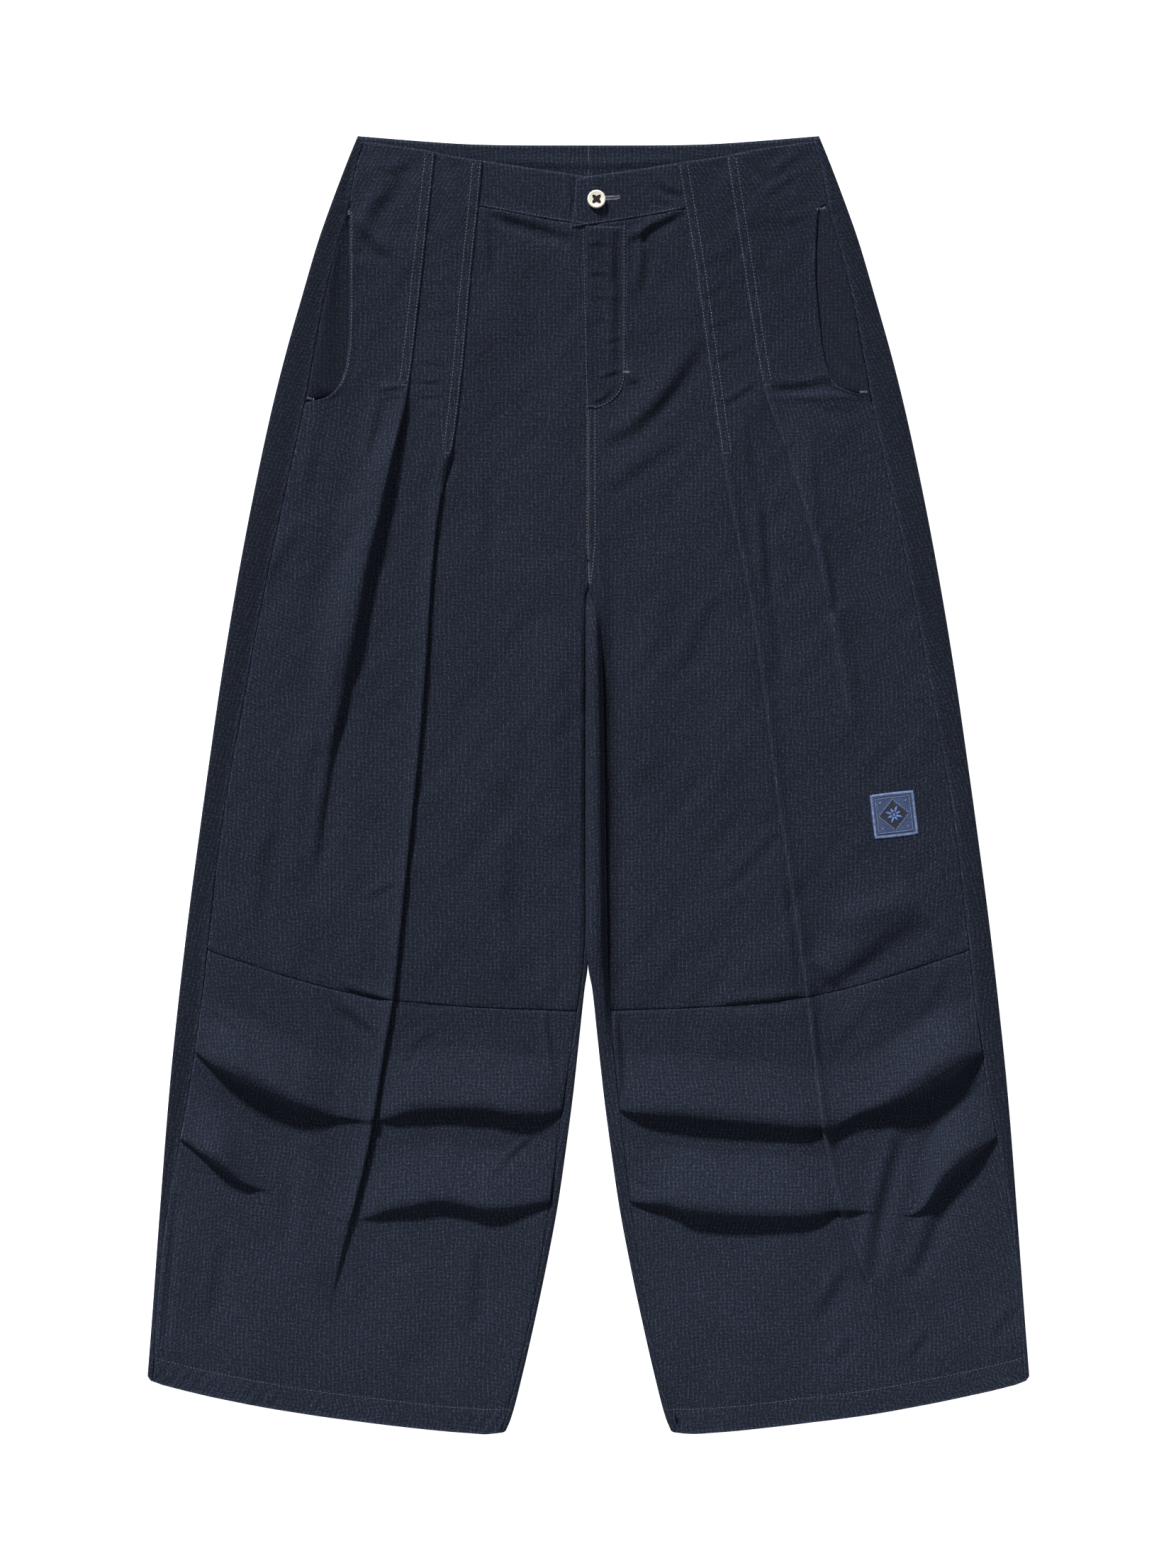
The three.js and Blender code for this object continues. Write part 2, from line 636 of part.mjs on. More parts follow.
const trousers = new THREE.Group();
for (const leg of legs) {
  const panel = (name, grid, wall, material) =>
    trousers.add(piece(`${name}_${leg.name}`, clothSolid(grid, wall, leg.mirrored), material));
  panel("back", backGrid(leg), clothWall, cloth);
  panel("front", frontGrid(leg), clothWall, cloth);
  panel("shin", shinGrid(leg), clothWall, cloth);
  panel("waistband", bandGrid(leg), clothWall, cloth);
  panel("pocket_facing", facingGrid(leg), facingWall, inside);
}
trousers.add(piece("fly_flap", clothSolid(flapGrid(), flapWall, false), cloth));
trousers.add(buttonMesh());
trousers.add(patchMesh());

export default trousers;
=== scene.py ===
import math

import bpy
import numpy as np
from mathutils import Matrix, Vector
from mathutils.bvhtree import BVHTree


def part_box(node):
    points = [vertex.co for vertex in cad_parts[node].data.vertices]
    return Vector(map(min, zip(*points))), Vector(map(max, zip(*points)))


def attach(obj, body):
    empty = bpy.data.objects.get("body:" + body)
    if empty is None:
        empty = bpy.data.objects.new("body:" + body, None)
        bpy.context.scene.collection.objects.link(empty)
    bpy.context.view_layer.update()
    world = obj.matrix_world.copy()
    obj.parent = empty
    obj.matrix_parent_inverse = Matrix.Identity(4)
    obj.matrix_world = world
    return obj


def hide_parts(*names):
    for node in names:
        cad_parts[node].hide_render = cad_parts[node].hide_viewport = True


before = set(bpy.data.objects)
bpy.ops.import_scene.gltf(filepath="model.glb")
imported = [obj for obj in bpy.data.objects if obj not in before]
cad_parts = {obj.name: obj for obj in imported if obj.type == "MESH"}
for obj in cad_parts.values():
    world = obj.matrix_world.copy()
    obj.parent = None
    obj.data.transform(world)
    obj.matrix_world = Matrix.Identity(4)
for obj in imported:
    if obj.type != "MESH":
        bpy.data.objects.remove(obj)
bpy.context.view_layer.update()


# Back panels
# One for each leg, cut from waist to hem in crinkled navy cotton. Each is turned round the side and
# the inner edge of its leg, so that its seams lie on the front, and its underside is flat on the floor.

# Everything about the cloth is in millimetres: "down" from the highest point of the waist towards
# the hem, "out" from the centre line towards the side seam of either leg, "height" from the floor.
MM = 0.001
# No two kinds of piece show the same stretch of the cloth.
grain_starts = {"back": 1000, "front": 3000, "shin": 5000, "band": 7000, "facing": 9000, "flap": 11000}
garment_length = 1050
cloth_thickness = 0.45
seam_gap = 0.4
back_level = 0.25
front_level = 4.2
fold_radius = (front_level - back_level) / 2
crotch_down = 364
crotch_turn = 8
crotch_roll = 0.55
roll_growth = 30
crotch_flap = 0.5
least_flap = 0.8
centre_gap = 0.02
edge_drop = 0.7
edge_reach = 1.8
narrow_marks = (0.5, 1.1, 1.8)
panel_marks = (*narrow_marks, 3)
back_cell = 4.5


def smooth_curve(keys, values):
    """A curve through the given values that never swings past them."""
    keys, values = np.array(keys, float), np.array(values, float)
    steps = np.diff(values) / np.diff(keys)
    before, after = steps[:-1], steps[1:]
    same_way = before * after > 0
    sums = np.where(same_way, before + after, 1)
    inner = np.where(same_way, 2 * before * after / sums, 0)
    slopes = np.concatenate([steps[:1], inner, steps[-1:]])

    def read(key):
        place = np.clip(key, keys[0], keys[-1])
        i = np.clip(np.searchsorted(keys, place, side="right") - 1, 0, len(keys) - 2)
        span = keys[i + 1] - keys[i]
        t = (place - keys[i]) / span
        rise = values[i + 1] * (3 * t**2 - 2 * t**3) + slopes[i + 1] * span * (t**3 - t**2)
        return values[i] * (2 * t**3 - 3 * t**2 + 1) + slopes[i] * span * (t**3 - 2 * t**2 + t) + rise

    return read


def read_table(columns, rows):
    """One smooth curve for each named column after the first, read by the first."""
    keys = [row[0] for row in rows]
    return {name: smooth_curve(keys, [row[i + 1] for row in rows]) for i, name in enumerate(columns[1:])}


def mix(start, end, share):
    return start + (end - start) * share


def smooth_step(start, end, value):
    t = np.clip((value - start) / (end - start), 0, 1)
    return t * t * (3 - 2 * t)


def bell(distance, width):
    """1 on a line, fading away from it on both sides."""
    return np.exp(-((distance / width) ** 2))


side_edge = read_table(["down", "out"], [
    [0, 186.5], [17, 193.5], [39, 202], [62, 210.5], [85, 218.5], [131, 232], [177, 245],
    [223, 256.5], [291, 271], [360, 284], [429, 295.5], [498, 305.5], [567, 315], [635, 324],
    [704, 332], [773, 339], [888, 348], [957, 353], [1002, 356.5],
])["out"]
hem_edge = read_table(["out", "down"], [
    [62, 1044], [70, 1048.5], [79, 1050], [96, 1049], [131, 1046], [165, 1042], [200, 1038],
    [234, 1033], [268, 1027], [303, 1020], [337, 1012], [353, 1007], [357, 1002],
])["down"]
back_waist = read_table(["out", "down"], [
    [0, 7.5], [60, 7.5], [100, 6.5], [146, 5], [161, 3], [175, 1], [187, 0],
])["down"]
side_seam = read_table(["down", "out"], [
    [0, 181], [30, 189], [62, 195], [90, 203], [130, 213], [177, 222], [223, 230.5], [280, 243],
    [340, 256], [400, 268], [460, 279], [520, 290], [580, 299], [640, 306], [700, 312.5],
    [760, 321], [820, 331.5], [880, 342], [950, 349], [1010, 352.5],
])["out"]

shin_inner_edge = [
    [690, 3], [727, 7], [773, 12], [819, 18], [865, 24.7], [911, 33.3], [957, 43], [1002, 53.3],
    [1037, 62.5], [1050, 68],
]

legs = {
    "right": {
        "side": -1,
        "inner_edge": read_table(["down", "out"], [
            [crotch_down, -0.1], [380, -0.9], [640, -0.9], [672, 0.5], *shin_inner_edge,
        ])["out"],
        "inseam": read_table(["down", "out"], [
            [372, 2.4], [640, 2.4], [660, 3.2], [672, 4.1], [690, 6.5], [727, 12], [760, 17],
            [789, 21.5], [820, 25.5], [858, 30.5], [911, 38.5], [957, 47], [1002, 57.5], [1050, 71],
        ])["out"],
        "inseam_ridge": read_table(["down", "height"], [
            [372, 0], [420, 0.4], [640, 0.4], [720, 0], [1050, 0],
        ])["height"],
    },
    "left": {
        "side": 1,
        "inner_edge": read_table(["down", "out"], [
            [crotch_down, -0.1], [380, -1.7], [640, -1.7], [660, -1.2], [672, -0.2],
            *shin_inner_edge,
        ])["out"],
        "inseam": read_table(["down", "out"], [
            [372, 6.5], [400, 10], [450, 12.5], [520, 14], [600, 15], [660, 16], [706, 18],
            [750, 21.5], [789, 25.5], [830, 30], [868, 34.5], [911, 40.5], [957, 48], [1002, 58],
            [1050, 71],
        ])["out"],
        "inseam_ridge": read_table(["down", "height"], [
            [376, 0], [400, 7.5], [450, 12], [630, 12], [690, 7], [730, 1.5], [765, 0], [1050, 0],
        ])["height"],
    },
}


def inner_roll(leg, down):
    """The back's inner edge: flat at the centre seam, rolled over at the crotch, then up to the inseam."""
    roll_steps = 4
    flap_shares = (0.6, 0.88, 1)
    ridge_shares = [0, 0.1, 0.3, 0.6, 0.8, 1, 0.1, 0]
    turn = smooth_step(crotch_down - crotch_turn / 2, crotch_down + crotch_turn / 2, down)
    grown = smooth_step(crotch_down, crotch_down + roll_growth, down)
    roll_radius = fold_radius * mix(crotch_roll, 1, grown)
    wrap_edge = leg["inner_edge"](down) + cloth_thickness / 2
    inseam_end = np.maximum(leg["inseam"](down) - seam_gap / 2, wrap_edge + roll_radius + least_flap)
    flap = mix(crotch_flap, inseam_end - wrap_edge - roll_radius, smooth_step(0.6, 1, turn))
    angle = math.pi * np.maximum(turn, 0.01)
    radius = math.pi * roll_radius / angle
    bends = [angle * i / roll_steps for i in range(roll_steps + 1)]
    shape = [(-radius * np.sin(bend), radius * (1 - np.cos(bend))) for bend in bends]
    end_out, end_rise = shape[-1]
    for share in flap_shares:
        shape.append((end_out - np.cos(angle) * flap * share, end_rise + np.sin(angle) * flap * share))
    nearest = np.min([out for out, _ in shape], axis=0)
    shift = mix(centre_gap, wrap_edge, turn) - nearest
    ridge = leg["inseam_ridge"](down)
    return [
        (out + shift, back_level + rise + ridge * share)
        for (out, rise), share in zip(shape, ridge_shares)
    ]


def back_row(leg, down):
    """A back panel at each distance down, from the side seam round the leg to the inseam."""
    side_centre = side_edge(down) - cloth_thickness / 2 - fold_radius
    seam_end = np.minimum(side_seam(down) + seam_gap / 2, side_centre - least_flap)
    level = np.full_like(down, front_level)
    row = [(seam_end, level), (mix(seam_end, side_centre, 0.5), level)]
    for degrees in (90, 45, 0, -45, -90):
        angle = math.radians(degrees)
        height = (front_level + back_level) / 2 + fold_radius * math.sin(angle)
        row.append((side_centre + fold_radius * math.cos(angle), np.full_like(down, height)))
    roll = inner_roll(leg, down)
    floor = np.full_like(down, back_level)
    row += [(mix(side_centre, roll[0][0], share), floor) for share in (0.04, 0.5, 0.96)]
    return row + roll


def fit_columns(row_at, down_at, column_count, passes=4):
    """Settles each column of a panel whose rows slant: how far down depends on how far out."""
    columns = []
    for column in range(column_count):
        out = row_at(down_at(column, None))[column][0]
        for _ in range(passes):
            down = down_at(column, out)
            out, height = row_at(down)[column]
        columns.append(np.stack([out, down, height + 0 * out], axis=-1))
    return np.stack(columns, axis=1)


back_wrap_top = [4.6, 3, 1.5, 0.8, 0.4]
back_shares = np.linspace(0, 1, 10)[:-1]
back_middle = np.concatenate([np.arange(30, 354, 3.5), np.arange(354, 374, 0.8), np.arange(375, 986, 3.5)])
hem_shares = np.linspace(0, 1, 20)


def back_down(column, out):
    """How far down each row of a back panel's column lies."""
    edge_out = 187.0 if out is None else out[0]
    top = back_wrap_top[column] if column < len(back_wrap_top) else back_waist(edge_out)
    hem = hem_edge(200.0 if out is None else out[-1])
    return np.concatenate([mix(top, 30, back_shares), back_middle, mix(986.5, hem, hem_shares)])


def refine(points, cell, axis, least=1, edge_marks=()):
    """Fills in a grid along one axis with a smooth curve through its points."""
    p = np.moveaxis(points, axis, 0)
    chord = np.linalg.norm(np.diff(p, axis=0), axis=2)
    step = np.sqrt(np.maximum(chord, 0.02))[..., None]
    padded = np.concatenate([2 * p[:1] - p[1:2], p, 2 * p[-1:] - p[-2:-1]])
    steps = np.concatenate([step[:1], step, step[-1:]])
    last = len(p) - 2
    filled = []
    for k in range(last + 1):
        p0, p1, p2, p3 = padded[k : k + 4]
        d0, d1, d2 = steps[k : k + 3]
        slope1 = ((p1 - p0) / d0 - (p2 - p0) / (d0 + d1) + (p2 - p1) / d1) * d1
        slope2 = ((p2 - p1) / d1 - (p3 - p1) / (d1 + d2) + (p3 - p2) / d2) * d1
        length = chord[k].mean()
        count = max(least, math.ceil(length / cell))
        marks = {round(i / count, 5) for i in range(count)}
        if k == 0:
            marks |= {round(mark / length, 5) for mark in edge_marks if mark < 0.8 * length}
        if k == last:
            marks |= {round(1 - mark / length, 5) for mark in edge_marks if mark < 0.8 * length}
        for t in sorted(marks):
            blend = p2 * (3 * t**2 - 2 * t**3) + slope2 * (t**3 - t**2)
            filled.append(p1 * (2 * t**3 - 3 * t**2 + 1) + slope1 * (t**3 - 2 * t**2 + t) + blend)
    filled.append(p[-1])
    return np.moveaxis(np.array(filled), 0, axis)


def ripple(across, along, wide, long, seed):
    """Soft random waves between -1 and 1, of about that width and length."""
    size = 64
    lattice = np.random.default_rng(seed).uniform(-1, 1, (size, size))
    i, j = np.floor(across / wide).astype(int), np.floor(along / long).astype(int)
    u, v = across / wide - i, along / long - j
    u, v = u * u * (3 - 2 * u), v * v * (3 - 2 * v)
    near = mix(lattice[i % size, j % size], lattice[(i + 1) % size, j % size], u)
    far = mix(lattice[i % size, (j + 1) % size], lattice[(i + 1) % size, (j + 1) % size], u)
    return mix(near, far, v)


crease_columns = ["start", "middle", "end", "rise", "drop", "width"]
crease_strength = 1.7
lit_from = math.radians(22)


def crease_relief(creases, side, out, down):
    """The height that creases add. Each runs in a curve through three (out, down) points and fades at
    both ends. It rises or sinks along its line, and drops across it on the side away from the light,
    more steeply where it runs along the light."""
    total = np.zeros(out.shape)
    t = np.linspace(0, 1, 9)[:, None]
    lee = np.array([side * math.sin(lit_from), math.cos(lit_from)])
    for row in creases:
        crease = dict(zip(crease_columns, row))
        start, middle, end = (np.array(crease[key], float) for key in crease_columns[:3])
        bend = 2 * middle - (start + end) / 2
        path = (1 - t) ** 2 * start + 2 * t * (1 - t) * bend + t**2 * end
        run = (end - start) / np.hypot(*(end - start))
        steeper = min(1.8, 0.9 / max(abs(run[1] * lee[0] - run[0] * lee[1]), 0.1))
        width = crease["width"]
        low, high = path.min(0) - 3 * width, path.max(0) + 3 * width
        near = (out > low[0]) & (out < high[0]) & (down > low[1]) & (down < high[1])
        place = np.stack([out[near], down[near]], axis=-1)
        best = np.full(len(place), 1e9)
        signed, share = np.zeros(len(place)), np.zeros(len(place))
        for k in range(len(path) - 1):
            along = path[k + 1] - path[k]
            reach = np.clip((place - path[k]) @ along / (along @ along), 0, 1)
            away = place - path[k] - reach[:, None] * along
            distance = np.hypot(away[:, 0], away[:, 1])
            closer = distance < best
            best = np.where(closer, distance, best)
            leeward = np.sign(away @ lee)
            signed = np.where(closer, leeward * distance, signed)
            share = np.where(closer, (k + reach) / (len(path) - 1), share)
        s = signed / width
        fade = np.sqrt(np.clip(4 * share * (1 - share), 0, 1))
        total[near] += fade * np.exp(-(s**2)) * (crease["rise"] - crease["drop"] * steeper * s)
    return crease_strength * total


def seam_pucker(distance, along, pitch, height, reach, seed):
    """Small puckers across a sewn line, of uneven pitch, that fade away from it."""
    wander = 0.6 * ripple(along, along * 0, 3 * pitch, 1, seed)
    strength = 0.65 + 0.35 * ripple(along, along * 0, 5 * pitch, 1, seed + 1)
    waves = np.sin(2 * math.pi * (along / pitch + wander))
    return height * strength * bell(distance, reach) * waves


def edge_distance(points, side):
    """How far each point of a grid lies from one of its edges, along the cloth."""
    axis = 1 if side.endswith("column") else 0
    lengths = np.linalg.norm(np.diff(points, axis=axis), axis=2)
    start = np.zeros_like(np.take(lengths, [0], axis=axis))
    run = np.concatenate([start, np.cumsum(lengths, axis=axis)], axis=axis)
    return run if side.startswith("first") else np.take(run, [-1], axis=axis) - run


def turn_edges(points, sides, drop=edge_drop):
    """Turns the named edges down into their seam, as a folded edge lies."""
    turned = points.copy()
    wear_highlight_and_shade = np.zeros(points.shape[:2])
    for side in sides:
        distance = edge_distance(points, side)
        near = np.clip(1 - distance / edge_reach, 0, 1)
        turned[..., 2] -= drop * (1 - np.sqrt(1 - near**2))
        wear_highlight_and_shade = np.maximum(wear_highlight_and_shade, bell(distance, 1.6))
    return turned, wear_highlight_and_shade


def grid_normals(points):
    """Unit normals of a grid of points, from the unit steps on either side of each."""
    def steps(axis):
        step = np.diff(points, axis=axis)
        step = step / np.maximum(np.linalg.norm(step, axis=2, keepdims=True), 1e-6)
        edge = np.zeros_like(np.take(step, [0], axis=axis))
        return np.concatenate([step, edge], axis=axis) + np.concatenate([edge, step], axis=axis)

    normal = np.cross(steps(1), steps(0))
    return normal / np.maximum(np.linalg.norm(normal, axis=2, keepdims=True), 1e-9)


def point_outward(mesh):
    """Turns a closed mesh's faces to point out, which its signed volume tells."""
    mesh.calc_loop_triangles()
    triangles = np.empty(len(mesh.loop_triangles) * 3, np.int32)
    mesh.loop_triangles.foreach_get("vertices", triangles)
    places = np.empty(len(mesh.vertices) * 3, np.float32)
    mesh.vertices.foreach_get("co", places)
    a, b, c = places.reshape(-1, 3)[triangles.reshape(-1, 3)].astype(float).transpose(1, 0, 2)
    if np.einsum("ij,ij->i", a, np.cross(b, c)).sum() < 0:
        mesh.flip_normals()


def new_piece(name, corners, faces, smooth=True):
    """A closed mesh, in metres, as a piece of the scene."""
    mesh = bpy.data.meshes.new(name)
    mesh.from_pydata([tuple(corner) for corner in corners], [], faces)
    mesh.polygons.foreach_set("use_smooth", np.full(len(faces), smooth))
    piece = bpy.data.objects.new(name, mesh)
    bpy.context.scene.collection.objects.link(piece)
    point_outward(mesh)
    return piece


def shell_faces(rows, columns):
    """The faces of a closed shell on a grid of points. Its lower points follow the upper ones."""
    index = np.arange(rows * columns).reshape(rows, columns)
    below = index + rows * columns
    upper = [index[:-1, :-1], index[:-1, 1:], index[1:, 1:], index[1:, :-1]]
    lower = [below[:-1, :-1], below[1:, :-1], below[1:, 1:], below[:-1, 1:]]
    rim = np.concatenate([index[0, :-1], index[:-1, -1], index[-1, :0:-1], index[:0:-1, 0]])
    after = np.roll(rim, -1)
    edge = [rim, rim + rows * columns, after + rows * columns, after]
    quads = [np.stack(corners, axis=-1).reshape(-1, 4) for corners in (upper, lower, edge)]
    return np.concatenate(quads).tolist()


def add_grain(mesh, places):
    """The cloth's own lengths across and along at each point, which its weave follows."""
    corner_of = np.empty(len(mesh.loops), np.int32)
    mesh.loops.foreach_get("vertex_index", corner_of)
    places = np.array(places)[corner_of].astype(np.float32)
    mesh.uv_layers.new(name="grain").data.foreach_set("uv", places.ravel())


def cloth_piece(name, grid, side, thickness, wear_highlight_and_shade, kind):
    """A closed thin shell on a grid of (out, down, height), with its grain. Its painted tone attribute is 1
    on the edges that rub, raised on pleat crests by painted highlights, and lowered where the cloth is
    painted darker, in the gutters and on the right facing as painted shade."""
    points = np.stack([grid[..., 0], garment_length / 2 - grid[..., 1], grid[..., 2]], axis=-1)
    normals = grid_normals(points)
    normals *= np.sign(normals[0, 0, 2]) if abs(normals[0, 0, 2]) > 0.1 else 1
    upper, lower = points + normals * thickness / 2, points - normals * thickness / 2
    corners = np.concatenate([upper.reshape(-1, 3), lower.reshape(-1, 3)])
    corners[:, 0] *= side
    piece = new_piece(name, corners * MM, shell_faces(*points.shape[:2]))
    across = edge_distance(points, "last_column") + points[:, -1:, 0]
    along = edge_distance(points, "first_row") + grid[:1, :, 1]
    grain = np.stack([across + grain_starts[kind], along], axis=-1).reshape(-1, 2) * MM
    add_grain(piece.data, np.concatenate([grain, grain]))
    # Painted tone per point: wear on rubbed edges, painted highlights on pleat crests, painted shade in
    # gutters and on the right facing.
    painted_wear_highlight_and_shade = piece.data.attributes.new("painted_wear_highlight_and_shade", "FLOAT", "POINT")
    painted_wear_highlight_and_shade.data.foreach_set("value", np.tile(wear_highlight_and_shade.ravel(), 2).astype(np.float32))
    piece.data.validate()
    return piece


def hex_colour(code):
    """An sRGB hex colour as linear red, green, blue and alpha."""
    parts = [((code >> shift) & 255) / 255 for shift in (16, 8, 0)]
    linear = [p / 12.92 if p <= 0.04045 else ((p + 0.055) / 1.055) ** 2.4 for p in parts]
    return (*linear, 1.0)


def add_node(tree, kind, settings=None, feeds=None):
    """Adds a node. Settings are its own properties, feeds are values or sockets for its inputs."""
    node = tree.nodes.new(kind)
    for name, value in (settings or {}).items():
        setattr(node, name, value)
    for name, value in (feeds or {}).items():
        if isinstance(value, bpy.types.NodeSocket):
            tree.links.new(value, node.inputs[name])
        else:
            node.inputs[name].default_value = value
    return node


def add_maths(tree, operation, *feeds, kind="ShaderNodeMath"):
    """One step of arithmetic on numbers, or on vectors."""
    return add_node(tree, kind, {"operation": operation}, dict(enumerate(feeds))).outputs[0]


def add_noise(tree, place, scale, detail, output="Fac", dimensions="2D", distortion=0.0):
    """Random mottling. Its scale is the number of cells in a metre."""
    feeds = {"Vector": place, "Scale": scale, "Detail": detail, "Distortion": distortion}
    return add_node(tree, "ShaderNodeTexNoise", {"noise_dimensions": dimensions}, feeds).outputs[output]


def add_range(tree, value, start, end, low=0.0, high=1.0):
    """A value spread from one range over another and held at its ends."""
    feeds = {"Value": value, "From Min": start, "From Max": end, "To Min": low, "To Max": high}
    return add_node(tree, "ShaderNodeMapRange", None, feeds).outputs[0]


def add_ramp(tree, value, stops):
    """The shades between stops of (position, hex colour)."""
    ramp = add_node(tree, "ShaderNodeValToRGB", None, {"Fac": value})
    elements = ramp.color_ramp.elements
    elements[0].position = stops[0][0]
    elements[1].position = stops[-1][0]
    for position, _ in stops[1:-1]:
        elements.new(position)
    for element, (_, shade) in zip(elements, stops):
        element.color = hex_colour(shade)
    return ramp.outputs["Color"]


def new_material(name):
    """An empty material."""
    material = bpy.data.materials.new(name)
    material.use_nodes = True
    material.node_tree.nodes.clear()
    return material


def add_surface(material, feeds):
    """Gives a material its surface."""
    tree = material.node_tree
    shader = add_node(tree, "ShaderNodeBsdfPrincipled", None, feeds)
    tree.links.new(shader.outputs[0], add_node(tree, "ShaderNodeOutputMaterial").inputs[0])
    return material


def crinkled_cotton(name, shades):
    """Crinkled plain-weave cotton, piece-dyed navy. Uneven lighter threads cross in both directions in
    a broken check about 3 mm apart, which catches the light in specks. Matt, with a faint nap."""
    material = new_material(name)
    tree = material.node_tree
    grain = add_node(tree, "ShaderNodeUVMap", {"uv_map": "grain"}).outputs["UV"]
    vector = "ShaderNodeVectorMath"
    pitch = {"X": 3.4 * MM, "Y": 3.1 * MM}
    thread_run = 5.5 * MM

    # Even waves both ways, led a little astray.
    waver = add_noise(tree, grain, 1 / (12 * MM), 0.0, "Color")
    wavering = add_maths(tree, "MULTIPLY_ADD", waver, (2.4 * MM,) * 3, grain, kind=vector)
    turns = (2 * math.pi / pitch["X"], 2 * math.pi / pitch["Y"], 0)
    phase = add_maths(tree, "MULTIPLY", wavering, turns, kind=vector)
    sine = add_maths(tree, "SINE", phase, kind=vector)
    waves = add_node(tree, "ShaderNodeSeparateXYZ", None, {0: sine})

    # The weave: a fine mottle, the threads where their waves crest, and sunken dots between them.
    weave = add_noise(tree, grain, 1 / (0.55 * MM), 1.0)
    threads = {
        "X": (0.25, (1 / pitch["X"], 1 / thread_run, 1)),
        "Y": (0.16, (1 / thread_run, 1 / pitch["Y"], 1)),
    }
    for axis, (strength, scale) in threads.items():
        crest = add_range(tree, waves.outputs[axis], 0.35, 1.0)
        place = add_node(tree, "ShaderNodeMapping", None, {"Vector": grain, "Scale": scale}).outputs[0]
        shown = add_range(tree, add_noise(tree, place, 1.3, 2.0), 0.3, 0.58, 0.0, strength)
        weave = add_maths(tree, "MULTIPLY_ADD", crest, shown, weave)
    dots = add_noise(tree, grain, 1 / (1.3 * MM), 0.0)
    weave = add_maths(tree, "ADD", weave, add_range(tree, dots, 0.5, 0.66, 0.0, -0.3))
    shade = add_ramp(tree, weave, list(zip((0.12, 0.48, 0.72, 1.0), shades)))

    # The dye takes unevenly. The painted tone attribute lifts it on rubbed edges and painted highlights,
    # and lowers it where shade is painted.
    dyes = add_noise(tree, grain, 1 / (4 * MM), 0.0, "Color")
    hues = add_maths(tree, "MULTIPLY_ADD", dyes, (0.26, 0.16, 0.2), (0.87, 0.92, 0.9), kind=vector)
    dyed = add_maths(tree, "MULTIPLY", shade, hues, kind=vector)
    depth = add_range(tree, add_noise(tree, grain, 1 / (45 * MM), 1.0), 0.3, 0.7, 0.97, 1.03)
    painted_wear_highlight_and_shade = add_node(tree, "ShaderNodeAttribute", {"attribute_name": "painted_wear_highlight_and_shade"}).outputs["Fac"]
    brightness = add_maths(tree, "MULTIPLY_ADD", painted_wear_highlight_and_shade, 0.55, depth)
    colour = add_node(tree, vector, {"operation": "SCALE"}, {0: dyed, "Scale": brightness}).outputs[0]
    relief = {"Height": weave, "Strength": 0.5, "Distance": 0.25 * MM}
    return add_surface(material, {
        "Base Color": colour, "Roughness": 0.95, "Specular IOR Level": 0.08,
        "Sheen Weight": 0.03, "Sheen Roughness": 0.6, "Sheen Tint": hex_colour(0x7f8db5),
        "Normal": add_node(tree, "ShaderNodeBump", None, relief).outputs[0],
    })


navy_cotton = crinkled_cotton("crinkled_navy_cotton", (0x10131b, 0x1d222d, 0x2b313f, 0x4a5165))
cloth_pieces = []


def finish_piece(piece, material, node=None):
    """Gives a piece its finish, says where it belongs, and hides the node of the part that it stands for.
    """
    piece.data.materials.append(material)
    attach(piece, "root")
    if node:
        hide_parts(node)


def finish_cloth(piece, node, material):
    """Finishes a cut piece and adds it to the cloth that the stitches are laid on."""
    finish_piece(piece, material, node)
    cloth_pieces.append(piece)


# Width, length and height of the waves that run over the whole garment.
garment_waves = [(38, 80, 1.3), (16, 30, 0.35), (6, 9, 0.03)]
wave_seed = {-1: 11, 1: 23}
seam_groove = 0.9
groove_width = 9
# Pitch, height and reach of the puckers at each kind of seam, and the seed of their unevenness.
side_pucker = (9, 0.2, 6)
puckers = {
    "outer_pleat": (5.2, 0.32, 4, 41),
    "inner_pleat": (5.2, 0.32, 4, 47),
    "knee_seam": (10, 0.3, 7, 53),
    "band_seam": (8, 0.25, 6, 59),
    "hem": (8.5, 0.85, 9, 61),
}


def cloth_waves(leg, out, down):
    """The uneven lie of the whole garment, which doesn't stop at its seams."""
    seed = wave_seed[leg["side"]]
    total = 0
    for i, (wide, long, height) in enumerate(garment_waves):
        total = total + height * ripple(out, down, wide, long, seed + i)
    away = out - side_seam(down)
    puckered = seam_pucker(away, down, *side_pucker, seed + len(garment_waves))
    return total + (puckered - seam_groove * bell(away, groove_width))


back_creases = [
    [(80, 20), (36, 22.5), (-12, 24.5), 0.7, 0.6, 3.5],
]
strip_creases = [
    [(186, 60), (196, 60), (206, 61), 0, 0.9, 2.5],
    [(300, 560), (304, 640), (309, 700), 0, 0.6, 5],
    [(240, 190), (252, 250), (262, 300), 0.5, 0, 6],
]
inseam_wear = {"right": 0.2, "left": 1.0}
waist_wear = 0.5
strip_shade = 0.4

